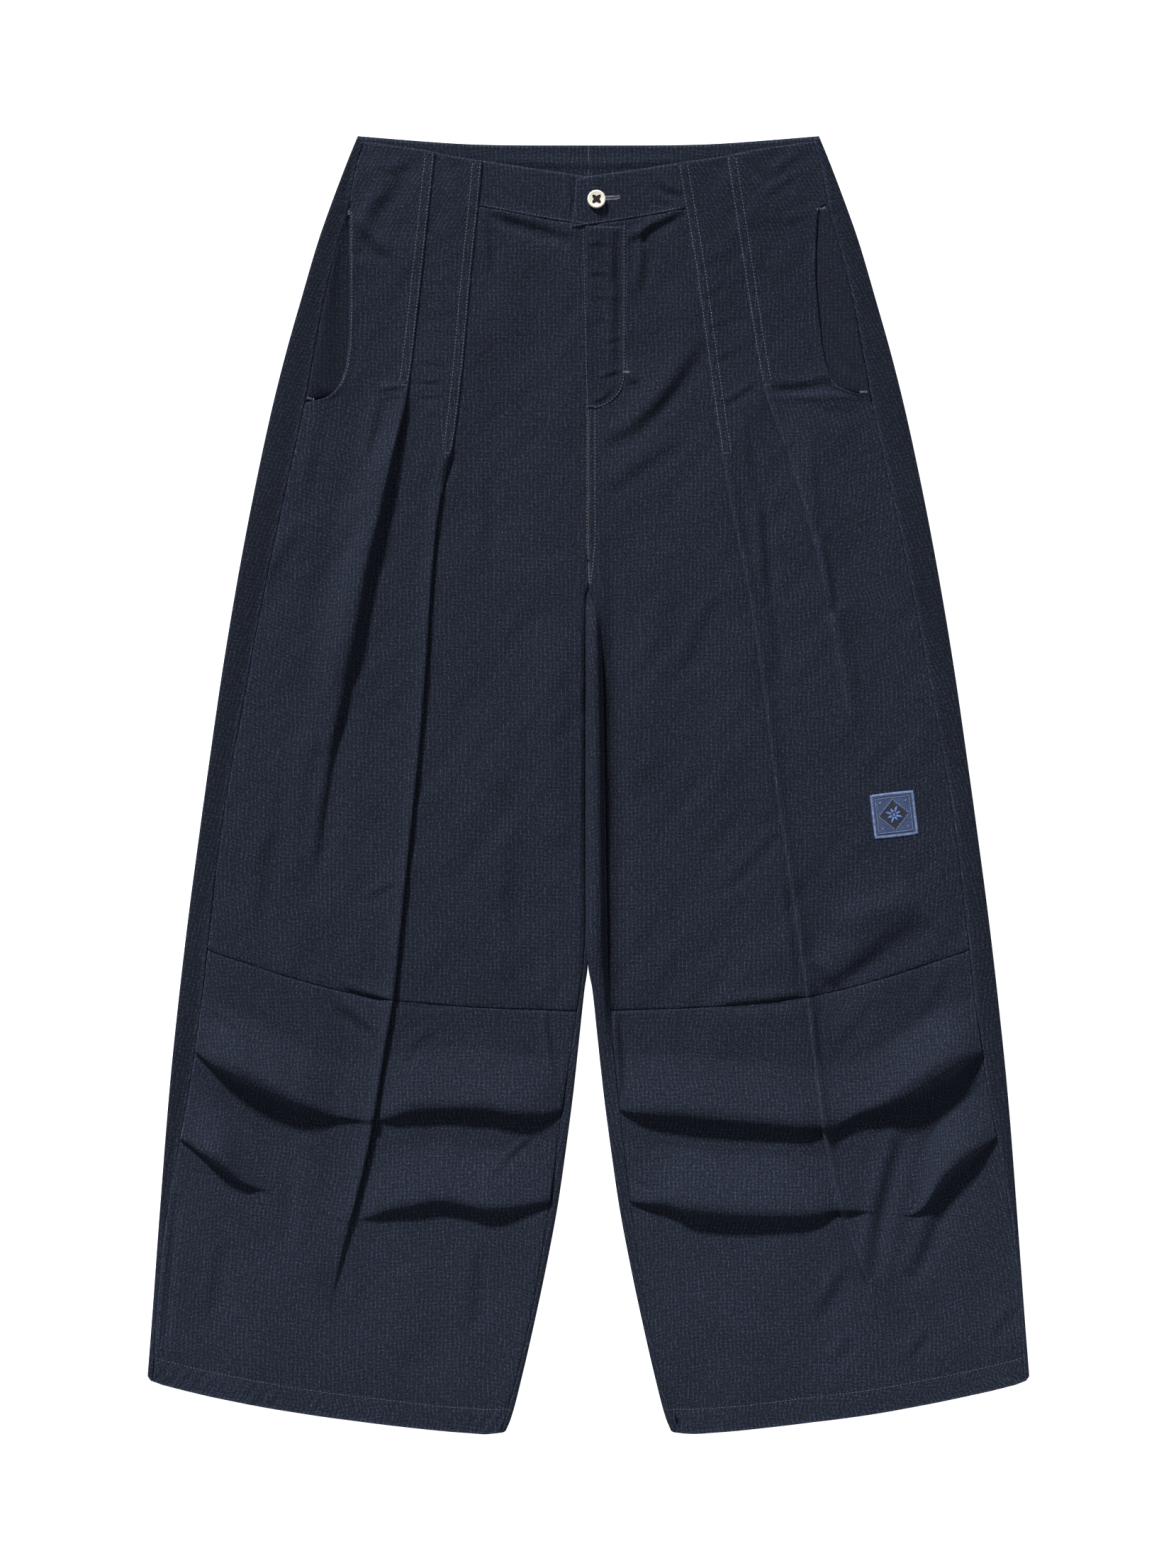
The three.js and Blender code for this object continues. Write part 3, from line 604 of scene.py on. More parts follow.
for name, leg in legs.items():
    count = len(back_row(leg, np.array([0.0])))
    coarse = fit_columns(lambda down: back_row(leg, down), back_down, count)
    grid = refine(coarse, back_cell, 1, least=2, edge_marks=panel_marks)
    out, down = grid[..., 0], grid[..., 1]
    above = smooth_step(back_level, front_level, grid[..., 2])
    inside = np.maximum(crease_relief(back_creases, leg["side"], out, down), 0) * (1 - above)
    outside = crease_relief(strip_creases, leg["side"], out, down)
    grid[..., 2] += above * (cloth_waves(leg, out, down) + outside) + inside
    grid, wear_highlight_and_shade = turn_edges(grid, ["first_column"])
    grid, inseam_worn = turn_edges(grid, ["last_column"])
    grid[..., 2] = np.maximum(grid[..., 2], back_level)
    wear_highlight_and_shade = np.maximum(wear_highlight_and_shade, inseam_worn * inseam_wear[name])
    wear_highlight_and_shade = np.maximum(wear_highlight_and_shade, waist_wear * bell(edge_distance(grid, "first_row"), 1.5))
    wear_highlight_and_shade = np.maximum(wear_highlight_and_shade, bell(edge_distance(grid, "last_row"), 1.5))
    beside = smooth_step(0, 6, out - side_seam(down)) * above
    wear_highlight_and_shade -= strip_shade * beside * smooth_step(0.2, 0, wear_highlight_and_shade)
    back = cloth_piece(f"back_panel_{name}", grid, leg["side"], cloth_thickness, wear_highlight_and_shade, "back")
    finish_cloth(back, f"back_{name}", navy_cotton)


# Front panels
# One for each leg, from the waist to the knee seam. Two pleats are pressed towards the side and
# stitched down with two rows each; below the stitching they open into long soft folds.
layer_pitch = 0.55
front_cell = 3.2
pleat_depth = 7
pleat_run = 26
tuck_run = 44
crotch_slope = 0.3
pocket_top = 57
pocket_bottom = 216

pleat_columns = ["down", "out", "open", "width", "height"]
legs["right"]["outer_pleat"] = read_table(pleat_columns, [
    [0, 122.2, 0, 0.8, 1.3], [195, 144, 0, 0.8, 1.5], [212, 146.5, 0.15, 1.5, 4],
    [240, 151, 0.6, 4, 8], [270, 155.5, 1, 6, 10], [301, 160.6, 1, 8, 11.5],
    [353, 170.3, 1, 11.5, 12], [404, 178.5, 1, 13, 10.5], [440, 188, 1, 10, 6],
    [480, 198, 1, 8, 1.5], [510, 204, 1, 8, 0], [720, 218, 1, 8, 0],
])
legs["right"]["inner_pleat"] = read_table(pleat_columns, [
    [0, 84, 0, 0.8, 1.2], [54, 88.6, 0, 0.8, 1.2], [110, 94.4, 0, 0.8, 1.2],
    [192, 101.8, 0, 0.8, 1.2], [250, 109, 0, 0.8, 1.6], [300, 120, 0.12, 2, 4],
    [353, 125.6, 0.2, 2.5, 4.8], [428, 130.4, 0.25, 3, 5], [497, 136, 0.25, 3, 5],
    [574, 144, 0.25, 3, 5.2], [647, 151.5, 0.2, 3, 5.2], [700, 157, 0.2, 3, 5],
    [733, 162.5, 0.25, 4, 5.5], [804, 173.5, 0.3, 5, 6], [849, 182.5, 0.5, 5, 5.5],
    [893, 192, 1, 6, 4.2], [924, 199, 1, 7, 2.4], [955, 205, 1, 8, 0], [1050, 222, 1, 8, 0],
])
legs["left"]["outer_pleat"] = read_table(pleat_columns, [
    [0, 108.7, 0, 0.8, 1.3], [100, 124, 0, 0.8, 1.3], [195, 139.3, 0, 0.8, 1.5],
    [223, 146, 0.5, 4, 5], [270, 158, 1, 10, 6.5], [315, 170, 1, 12, 6.5],
    [333, 174.5, 1, 12, 6], [432, 196, 1, 10, 4], [500, 211, 1, 8, 0], [720, 238, 1, 8, 0],
])
legs["left"]["inner_pleat"] = read_table(pleat_columns, [
    [0, 68.5, 0, 0.8, 1.2], [22, 72, 0, 0.8, 1.2], [100, 85.2, 0, 0.8, 1.2],
    [167, 94.6, 0, 0.8, 1.2], [250, 106.5, 0, 0.8, 1.6], [304, 115.5, 0.12, 2, 4.5],
    [326, 120, 0.15, 2, 5], [376, 130, 0.2, 3, 5.5], [447, 140.5, 0.2, 3, 5.5],
    [507, 148, 0.2, 3, 5.5], [565, 156, 0.2, 3, 5.5], [629, 166, 0.2, 3, 5.5],
    [692, 174.7, 0.2, 3, 6], [740, 180, 0.25, 4, 6.5], [798, 187, 0.3, 5, 7.5],
    [857, 198, 0.5, 5, 7], [895, 208.5, 1, 6, 6], [936, 224, 1, 7, 3], [965, 233, 1, 8, 0],
    [1050, 250, 1, 8, 0],
])
legs["right"]["pocket_mouth"] = read_table(["down", "out"], [
    [56, 193.5], [94, 193.4], [128, 193.3], [161, 193.8], [182, 195.5], [202, 202],
    [212, 212], [216, 229],
])["out"]
legs["left"]["pocket_mouth"] = read_table(["down", "out"], [
    [54, 193], [60, 186], [77, 184.7], [111, 183.7], [139, 185.8], [170, 189.2], [192, 194.4],
    [202, 201], [207, 211], [211, 228],
])["out"]
front_waist = read_table(["out", "down"], [
    [-12, 36], [0, 33.5], [25, 29.5], [40, 27.5], [75, 22], [109, 17], [132, 12], [155, 8.5],
    [181, 4.6],
])["down"]
band_seam = read_table(["out", "down"], [
    [-14, 75], [0, 73], [28, 68.5], [52, 64.3], [78, 59.3], [90, 57], [100, 55],
])["down"]
knee_seam = read_table(["out", "down"], [
    [8, 708], [90, 705], [150, 700], [190, 694], [230, 684], [268, 672], [304, 660], [316, 655],
])["down"]


def fold_section(opening, width, height, depth, run):
    """One fold seen end on: points behind its line and over the panel, from the cloth that lies over
    it to the cloth that comes out from under it. It opens from three pressed layers to a soft ridge."""
    pressed = [
        (depth + run, 0), (depth + 2, 2 * layer_pitch), (0.8, np.maximum(height, 2 * layer_pitch)),
        (0, 1.5 * layer_pitch), (0.8, layer_pitch), (depth, layer_pitch),
        (depth + 0.6, layer_pitch / 2), (depth, 0), (depth - 4, 0), (-2, 0),
    ]
    opened = [
        (width + run, 0), (width + 0.25 * run, 0.8 * height), (width, height),
        (0.72 * width, 0.85 * height), (0.6 * width, 0.55 * height), (0.5 * width, 0.25 * height),
        (0.35 * width, 0.08 * height), (0.15 * width, 0), (0.02 * width, 0), (-2, 0),
    ]
    return [(mix(a[0], b[0], opening), mix(a[1], b[1], opening)) for a, b in zip(pressed, opened)]


def pleat_points(pleat, down):
    """A pleat's section at each distance down, as (out, rise)."""
    opening, width, height = (pleat[key](down) for key in ("open", "width", "height"))
    section = fold_section(opening, width, height, pleat_depth, pleat_run)
    return [(pleat["out"](down) + back, rise) for back, rise in section]


def front_side(leg, down):
    """The front's side edge: along the pocket mouth beside the pocket, else at the side seam."""
    beside = (down > pocket_top) & (down < pocket_bottom)
    mouth = np.where(beside, leg["pocket_mouth"](down), 1000.0)
    return np.minimum(side_seam(down), mouth) - seam_gap / 2


def front_row(leg, down):
    """The upper front at each distance down, from the side to the centre seam or the inseam."""
    side = front_side(leg, down)
    opening = crotch_slope * np.maximum(down - crotch_down, 0)
    inner = np.minimum(leg["inseam"](down), opening) + seam_gap / 2
    outer = pleat_points(leg["outer_pleat"], down)
    second = pleat_points(leg["inner_pleat"], down)
    row = [(side, 0), (mix(side, outer[0][0], 0.1), 0), (mix(side, outer[0][0], 0.6), 0)]
    row += outer
    row += [(mix(outer[-1][0], second[0][0], 0.5), 0)]
    row += second
    row += [(mix(second[-1][0], inner, share), 0) for share in (0.25, 0.5, 0.75)]
    row += [(inner, 0)]
    return [(out, front_level + rise) for out, rise in row]


front_top_shares = np.concatenate([[0, 0.008, 0.018, 0.03], np.linspace(0.05, 1, 24)[:-1]])
front_middle = np.concatenate([np.arange(90, 192, 3), np.arange(192, 222, 1.25), np.arange(222, 590, 3)])
front_knee_shares = np.concatenate([np.linspace(0, 0.97, 36), [0.982, 0.99, 0.995, 1]])
band_columns = 6


def front_down(leg, column, out, column_count):
    """How far down each row of a front panel's column lies."""
    known = np.array([100.0, 100.0]) if out is None else out[[0, -1]]
    if column < column_count - band_columns:
        top = front_waist(known[0])
    else:
        top = band_seam(known[0]) + seam_gap / 2
    knee = knee_seam(known[1]) - seam_gap / 2
    return np.concatenate([mix(top, 90, front_top_shares), front_middle, mix(590, knee, front_knee_shares)])


between_pleats = [
    [(132, 103), (122, 106), (111, 104), 0, 0.7, 2.6], [(133, 118), (123, 120), (112, 117), 0, 0.6, 2.4],
    [(135, 141), (124, 144), (112, 142), 0, 0.7, 2.6], [(136, 158), (126, 160), (114, 157), 0, 0.6, 2.4],
    [(137, 181), (127, 184), (115, 183), 0, 0.8, 2.8], [(138, 198), (128, 200), (116, 198), 0, 0.6, 2.4],
    [(138, 211), (128, 212), (118, 210), 0, 0.6, 2.4], [(137, 224), (128, 226), (118, 225), 0, 0.6, 2.6],
]
front_creases = {
    "right": between_pleats + [
        [(145, 18), (166, 56), (189, 95), 0, 1.9, 9],
        [(147, 22), (158, 29), (171, 25), 0, 1.2, 4],
        [(165, 48), (174, 58), (183, 74), 0, 1.3, 6],
        [(178, 88), (184, 94), (191, 92), 0, 1.0, 4],
        [(127, 18), (123, 31), (119, 46), 0, 0.8, 6],
        [(190, 68), (176, 86), (163, 98), 0, 1.5, 7],
        [(84, 61), (48, 73), (12, 83), -0.6, 1.9, 6.5],
        [(15, 34), (13, 50), (12, 67), -0.4, 1.1, 4],
        [(82, 64), (81, 86), (78, 110), 0, 0.9, 5],
        [(93, 57), (84, 66), (74, 77), 0.9, 0, 3],
        [(79, 44), (76, 51), (71, 58), 0, 0.7, 3],
        [(170, 205), (158, 203), (148, 202), 1.0, 0, 2.6],
        [(159, 211), (153, 212), (148, 211), 0, 0.8, 3],
        [(167, 212), (173, 238), (180, 268), 0, 1.6, 5],
        [(111, 256), (115, 268), (122, 286), 0, 1.9, 4],
        [(184, 296), (194, 320), (204, 343), 0, 1.0, 7],
        [(229, 312), (246, 338), (262, 366), 0, 1.2, 7],
        [(186, 340), (203, 420), (217, 500), 1.2, 0, 12],
        [(196, 450), (208, 515), (220, 592), -0.5, 2.2, 7],
        [(226, 480), (233, 540), (239, 602), 1.0, 0, 9],
        [(250, 520), (262, 590), (270, 650), 0, 0.7, 8],
        [(182, 618), (168, 611), (153, 602), 0, 1.4, 3.5],
        [(198, 688), (180, 694), (160, 699), 0, 1.8, 3.2],
        [(152, 700), (140, 702), (112, 703), 0, 0.8, 3],
        [(84, 270), (83, 306), (82, 342), 0, 0.7, 8],
        [(31, 636), (29, 672), (27, 706), 0, 0.8, 3],
        [(30, 340), (26, 450), (30, 620), 1.6, 0, 20],
        [(4, 345), (4, 500), (5, 680), 0, 0.9, 4],
        [(62, 560), (64, 620), (58, 680), 0, 0.6, 9],
        [(215, 225), (222, 262), (230, 300), 0, 0.7, 6],
    ],
    "left": [
        [(13, 249), (54, 222), (94, 163), -0.3, 2.1, 7.5],
        [(30, 226), (60, 200), (84, 158), 0.9, 0, 9],
        [(17, 287), (42, 268), (78, 245), 0, 1.3, 8],
        [(28, 184), (33, 191), (37, 200), 1.4, 0, 4],
        [(31.5, 76), (31.5, 130), (31.5, 182), 0.5, 0, 3],
        [(45, 72), (45, 98), (42, 128), 0, 1.4, 5],
        [(22, 74), (22, 130), (20, 200), 0, 1.3, 5],
        [(32, 86), (52, 75), (78, 60), 0, 2.4, 5],
        [(40, 92), (46, 80), (54, 70), 0, 1.0, 3],
        [(53, 36), (64, 44), (77, 47), 0, 1.2, 3.5],
        [(49, 50), (60, 54), (73, 56), 0, 0.8, 3],
        [(88, 109), (97, 104), (106, 98), 0, 0.8, 3],
        [(92, 131), (102, 126), (113, 118), 0, 1.0, 3.4],
        [(96, 158), (106, 153), (117, 147), 0, 1.0, 3.4],
        [(101, 184), (112, 178), (125, 170), 0, 1.1, 3.6],
        [(109, 217), (122, 210), (135, 199), 0, 1.2, 3.6],
        [(103, 240), (110, 240), (120, 236), 0, 0.7, 3],
        [(137, 37), (154, 28), (171, 15), 0, 1.9, 4],
        [(142, 50), (156, 41), (169, 33), 0, 1.1, 4],
        [(128, 16), (136, 28), (141, 44), 0, 0.9, 4],
        [(157, 71), (171, 66), (184, 60), 0.4, 1.0, 3],
        [(145, 204), (172, 203), (200, 196), -0.4, 1.6, 6],
        [(146, 211), (180, 211), (223, 211), 0.9, 0, 3.4],
        [(184, 218), (200, 221), (219, 220), 0, 0.6, 5],
        [(150, 222), (170, 285), (187, 332), 0, 0.8, 6],
        [(188, 324), (194, 352), (200, 382), 0, 2.3, 5],
        [(200, 386), (210, 415), (220, 442), 0, 1.3, 6],
        [(181, 248), (184, 280), (188, 316), 0, 1.0, 5],
        [(166, 272), (175, 310), (184, 348), 0.8, 0, 5],
        [(138, 290), (142, 335), (146, 380), 0, 2.3, 4.6],
        [(146, 380), (150, 407), (154, 432), 0, 1.3, 6],
        [(126, 226), (131, 262), (137, 296), 0, 1.0, 5],
        [(76, 441), (88, 405), (104, 373), 0, 1.2, 8],
        [(109, 610), (130, 588), (153, 561), 0, 1.6, 6],
        [(176, 694), (222, 664), (272, 628), 0, 3.2, 14],
        [(188, 690), (212, 675), (240, 656), 0, 0.7, 7],
        [(198, 640), (230, 627), (264, 610), 2.2, 0, 12],
        [(108, 702), (140, 700), (176, 695), 0, 1.9, 5],
        [(158, 602), (163, 640), (169, 686), 0, 1.1, 3.5],
        [(183, 668), (190, 677), (197, 690), 0, 1.4, 5],
        [(14, 326), (21, 480), (25, 700), -1.2, 0.9, 6],
        [(60, 330), (50, 420), (56, 520), 0.9, 0, 16],
    ],
}


pleat_stitch_ends = {"outer_pleat": 202, "inner_pleat": 257}
pleat_rows = (1.5, 7.8)
lowest_relief = -2.8
slanted_height = 0.5
slanted_seed = 83
waist_wrinkles = {"height": 0.6, "across": 10, "along": 13, "seed": 89}
knee_groove = 0.3
waist_dip = 0.7
waist_dip_reach = 28
mouth_ridge = 0.8


def stitched_pucker(leg, pleat, out, down):
    """Puckers between a pleat's two rows of stitches."""
    last = pleat_stitch_ends[pleat]
    behind = out - leg[pleat]["out"](down)
    return smooth_step(last + 4, last - 4, down) * seam_pucker(behind - 4.5, down, *puckers[pleat])


def slanted_waves(leg, out, down):
    """Soft wrinkles that run down towards the picture's left, as the cloth hangs from the waist."""
    along = 0.8 * down - 0.6 * leg["side"] * out
    across = 0.8 * out + 0.6 * leg["side"] * down
    return slanted_height * ripple(across, along, 11, 38, slanted_seed)


def fine_wrinkles(out, down):
    """Small wrinkles close to the waist, gone by the pockets' middle."""
    across, along, seed = (waist_wrinkles[key] for key in ("across", "along", "seed"))
    return waist_wrinkles["height"] * smooth_step(150, 50, down) * ripple(out, down, across, along, seed)


def front_relief(leg, name, out, down):
    """All that lies on the front's plain form: waves, creases and the puckers at its seams."""
    relief = cloth_waves(leg, out, down) + crease_relief(front_creases[name], leg["side"], out, down)
    relief += slanted_waves(leg, out, down)
    relief += fine_wrinkles(out, down)
    for pleat in pleat_stitch_ends:
        relief += stitched_pucker(leg, pleat, out, down)
    relief += seam_pucker(down - knee_seam(out), out, *puckers["knee_seam"])
    relief -= knee_groove * bell(down - knee_seam(out), 3)
    relief += seam_pucker(down - band_seam(out), out, *puckers["band_seam"]) * (out < 85)
    relief -= waist_dip * smooth_step(waist_dip_reach, 0, down - front_waist(out))
    beside = smooth_step(pocket_top, pocket_top + 8, down)
    beside *= smooth_step(pocket_bottom, pocket_bottom - 8, down)
    relief += mouth_ridge * beside * bell(out - leg["pocket_mouth"](down) + 2.6, 2.6)
    return np.maximum(relief, lowest_relief)


# How pale the pleat crests are painted: wear, and a painted highlight that is stronger on the left leg,
# whose fold edges face the light.
pleat_wear_and_highlight = {"right": 0.2, "left": 0.6}
waist_shade = {"right": 0.06, "left": 0.2}
gutter_shade = {"right": 0.4, "left": 0.9}
gutter_width = {"right": 2.5, "left": 4.5}


def fold_wear_and_highlight(leg, name, pleats, grid):
    """The pressed edges of the pleats, painted paler: partly wear where they rub, partly a painted
    highlight, stronger on the leg whose fold edges face the light.
    """
    wear_highlight_and_shade = np.zeros(grid.shape[:2])
    out, down, rise = grid[..., 0], grid[..., 1], grid[..., 2] - front_level
    for pleat in pleats:
        line = leg[pleat]
        crest = mix(0.8, 0.8 * line["width"](down), line["open"](down))
        on_top = smooth_step(0.3, 0.8, rise)
        fade = smooth_step(0.2, 2.5, line["height"](down)) * smooth_step(5, 30, down)
        on_crest = bell(out - line["out"](down) - crest, 2.6)
        wear_highlight_and_shade = np.maximum(wear_highlight_and_shade, pleat_wear_and_highlight[name] * on_top * fade * on_crest)
    return wear_highlight_and_shade


for name, leg in legs.items():
    count = len(front_row(leg, np.array([0.0])))
    coarse = fit_columns(
        lambda down: front_row(leg, down),
        lambda column, out: front_down(leg, column, out, count),
        count,
    )
    grid = refine(coarse, front_cell, 1, least=2, edge_marks=panel_marks)
    wear_highlight_and_shade = fold_wear_and_highlight(leg, name, ["outer_pleat", "inner_pleat"], grid)
    grid[..., 2] += front_relief(leg, name, grid[..., 0], grid[..., 1])
    grid, edges_worn = turn_edges(grid, ["first_column", "first_row"])
    grid = turn_edges(grid, ["last_column", "last_row"])[0]
    wear_highlight_and_shade = np.maximum(wear_highlight_and_shade, 0.6 * edges_worn) - waist_shade[name] * smooth_step(260, 90, grid[..., 1])
    # Painted shade along the gutter beside the back's rolled inner edge, darkest on the left leg.
    gutter = bell(edge_distance(grid, "last_column"), gutter_width[name])
    wear_highlight_and_shade -= gutter_shade[name] * gutter * smooth_step(crotch_down, 400, grid[..., 1])
    front = cloth_piece(f"front_panel_{name}", grid, leg["side"], cloth_thickness, wear_highlight_and_shade, "front")
    finish_cloth(front, f"front_{name}", navy_cotton)


# Shin panels
# One for each leg, from the knee seam to the hem. Two crosswise tucks are caught in the seams at
# their ends and stand as soft ridges between, and the hem is turned up and roped by its stitching.
tuck_columns = ["out", "down", "width", "height"]
legs["right"]["upper_tuck"] = read_table(tuck_columns, [
    [22, 789, 2, 2], [30, 796, 8, 5], [39, 801, 13, 8], [57, 805, 19, 10.5], [90, 801, 20, 10.5],
    [115, 801, 20, 9.5], [145, 803, 20, 8.5], [160, 806, 18, 6], [172, 804.5, 13, 3],
    [186, 801, 9, 2.5], [200, 799.5, 8, 4], [211, 798, 10, 7], [222, 799, 16, 11], [235, 800.5, 24, 15.5],
    [252, 795, 28, 18], [274, 785, 28.5, 18], [296, 768, 20, 13], [306, 757, 12, 8],
    [317, 742, 3, 3],
])
legs["right"]["lower_tuck"] = read_table(tuck_columns, [
    [24, 861, 2, 2], [28.5, 863, 4, 3], [57, 872.5, 9, 6.5], [70, 877, 13, 8.5],
    [83, 879.5, 16, 9.5], [100, 875.5, 15, 9], [117, 873, 16, 8.5], [144, 877, 16, 7.5],
    [165, 880, 15, 6], [174, 881.5, 12, 3.5], [183, 882, 9, 1], [195, 881, 8, 0.1], [215, 876, 8, 0.05],
    [258, 858, 8, 0.1], [268, 855, 6, 2.5], [275, 854, 8, 5], [283, 851.5, 12, 8],
    [290, 848, 16, 11], [298, 843, 18, 12], [306, 836, 15, 10], [315, 827, 10, 6.5],
    [328, 813, 3, 3],
])
legs["left"]["upper_tuck"] = read_table(tuck_columns, [
    [24, 789, 2, 2], [35, 798, 12, 6.5], [50, 804, 18, 9], [73, 809, 23, 11], [100, 812, 23, 11],
    [125, 813.6, 22, 10.5], [160, 814.6, 19.5, 9.5], [184, 815, 17, 8], [193, 803, 6, 3.5],
    [205, 801, 8, 5.5], [220, 800, 13, 8.5], [238, 797.5, 18, 12], [250, 800, 29, 16],
    [260, 802.5, 38, 18.5], [277, 794, 41, 19], [290, 783, 35, 17], [300, 769, 25, 13],
    [307, 759, 17, 9.5], [314, 750, 9, 5.5], [321, 740, 2, 2.5],
])
legs["left"]["lower_tuck"] = read_table(tuck_columns, [
    [30, 861, 2, 2], [38, 866, 5, 3.5], [60, 873, 13, 7.5], [77, 885, 24, 11],
    [100, 888, 23, 11.5], [125, 889, 22, 11], [150, 888, 20, 10], [177, 885.5, 17, 8],
    [199, 875, 8, 4.5], [206, 869, 3, 1.5], [215, 872, 6, 0.05], [254, 876, 8, 0.05],
    [262, 876, 5, 2], [273, 871, 11, 6.5], [281, 865, 22, 11], [290, 855, 22, 13],
    [299, 846, 22, 13], [308, 837.5, 18, 11], [318, 826, 12, 7.5], [325, 816.5, 5, 4],
    [331, 809, 2, 2],
])
fold_points = 10
shin_side_shares = np.linspace(0, 1, 13)[1:-1]
shin_inner_shares = np.linspace(0, 1, 13)[1:-1]


def shin_row(leg, down):
    """The lower front at each distance down, from the side seam to the inseam, without its tucks."""
    side = side_seam(down) - seam_gap / 2
    inner = leg["inseam"](down) + seam_gap / 2
    pleat = pleat_points(leg["inner_pleat"], down)
    row = [(side, 0)]
    row += [(mix(side, pleat[0][0], share), 0) for share in shin_side_shares]
    row += pleat
    row += [(mix(pleat[-1][0], inner, share), 0) for share in shin_inner_shares]
    return row + [(inner, 0)]


def tuck_points(tuck, out):
    """A tuck's section at a distance out, as (down, rise)."""
    section = fold_section(1, tuck["width"](out), tuck["height"](out), 0, tuck_run)
    return [(tuck["down"](out) - back, rise) for back, rise in section]


def shin_rows(leg, out, tuck_out):
    """The rows of a shin panel at a distance out, as (down, rise): seam, both tucks, hem."""
    seam = knee_seam(out) + seam_gap / 2
    upper = tuck_points(leg["upper_tuck"], tuck_out)
    lower = tuck_points(leg["lower_tuck"], tuck_out)
    hem = hem_edge(out)
    rows = [(mix(seam, upper[0][0], share), 0) for share in (0, 0.33, 0.67)]
    rows += upper + lower
    end = lower[-1][0]
    return rows + [(mix(end, hem, share), 0) for share in (0.2, 0.4, 0.6, 0.8, 0.95, 1)]


def shin_grid(leg):
    """Both ways together. Under the pleat all its layers take the tuck of the pleat's own line, so
    that they rise together."""
    reach = np.arange(640, 1060, 2.0)
    outs, rises = (np.array(part) for part in zip(*[
        (out, rise + 0 * reach) for out, rise in shin_row(leg, reach)
    ]))
    first_fold = 1 + len(shin_side_shares)
    columns = []
    for column in range(len(outs)):
        in_pleat = first_fold < column < first_fold + fold_points
        down = np.full(len(shin_rows(leg, 100.0, 100.0)), 800.0)
        for _ in range(6):
            out = np.interp(down, reach, outs[column])
            tuck_out = leg["inner_pleat"]["out"](down) if in_pleat else out
            settled = [shin_rows(leg, *places)[row] for row, places in enumerate(zip(out, tuck_out))]
            down = np.array([d for d, _ in settled])
        height = front_level + np.interp(down, reach, rises[column]) + np.array([r for _, r in settled])
        columns.append(np.stack([np.interp(down, reach, outs[column]), down, height], axis=-1))
    return np.stack(columns, axis=1)


shin_creases = {
    "right": [
        [(202, 703), (188, 714), (172, 728), 0, 1.5, 6],
        [(306, 707), (292, 716), (279, 727), 0, 1.0, 3.5],
        [(35, 706), (31, 732), (26, 760), 0, 1.7, 3.2],
        [(47, 810), (62, 825), (79, 843), 0, 1.7, 3],
        [(226, 800), (222, 860), (226, 925), 1.2, 0, 14],
        [(238, 828), (237, 862), (238, 900), 0, -0.8, 7],
        [(92, 900), (92, 930), (95, 965), 0, 0.9, 8],
        [(334, 855), (339, 915), (344, 978), -0.9, 0.8, 3.5],
        [(300, 895), (302, 920), (306, 950), 0, 0.7, 8],
        [(150, 915), (140, 950), (146, 990), 0.7, 0, 12],
        [(120, 722), (138, 734), (150, 752), 0, 0.7, 5],
    ],
    "left": [
        [(23, 711), (26, 740), (28, 774), 0, 2.2, 3.4],
        [(183, 706), (184, 724), (187, 742), 0, 1.5, 3],
        [(253, 803), (236, 860), (226, 926), 0, 2.1, 8],
        [(265, 812), (250, 868), (238, 930), 1.0, 0, 7],
        [(284, 846), (276, 885), (256, 926), 0, 1.8, 9],
        [(209, 913), (197, 934), (184, 956), 0, 1.3, 8],
        [(213, 971), (205, 982), (196, 993), 0, 1.1, 6],
        [(273, 967), (266, 978), (258, 991), 0, 1.1, 6],
        [(343, 947), (334, 960), (325, 972), 0, 1.0, 6],
        [(229, 928), (231, 940), (234, 954), 0, 1.0, 3.5],
        [(31, 828), (50, 828), (68, 826), 0, 0.7, 2.4],
        [(33, 843), (46, 846), (60, 847), 0, 0.7, 2.4],
        [(80, 930), (110, 962), (150, 980), 0.7, 0, 14],
        [(225, 700), (214, 720), (200, 736), 0, 0.9, 7],
        [(290, 672), (283, 690), (270, 712), 0, 0.8, 7],
    ],
}
hem_depth = 20
hem_groove = 0.35
hem_dip = 1.2
# How much paler the shin panels are painted towards the hem.
shin_paling = 0.3


def shin_relief(leg, name, out, down):
    """Waves, creases, the puckers of the knee seam and the slanted roping of the hem."""
    creases = shin_creases[name] + front_creases[name]
    relief = cloth_waves(leg, out, down) + crease_relief(creases, leg["side"], out, down)
    relief += seam_pucker(down - knee_seam(out), out, *puckers["knee_seam"])
    relief -= knee_groove * bell(down - knee_seam(out), 3)
    above_hem = hem_edge(out) - down
    roping = seam_pucker(above_hem - 0.5 * hem_depth, out + 0.7 * above_hem, *puckers["hem"])
    relief += roping - hem_groove * bell(above_hem - hem_depth, 2.2)
    relief -= hem_dip * smooth_step(45, 0, above_hem)
    return np.maximum(relief, lowest_relief)


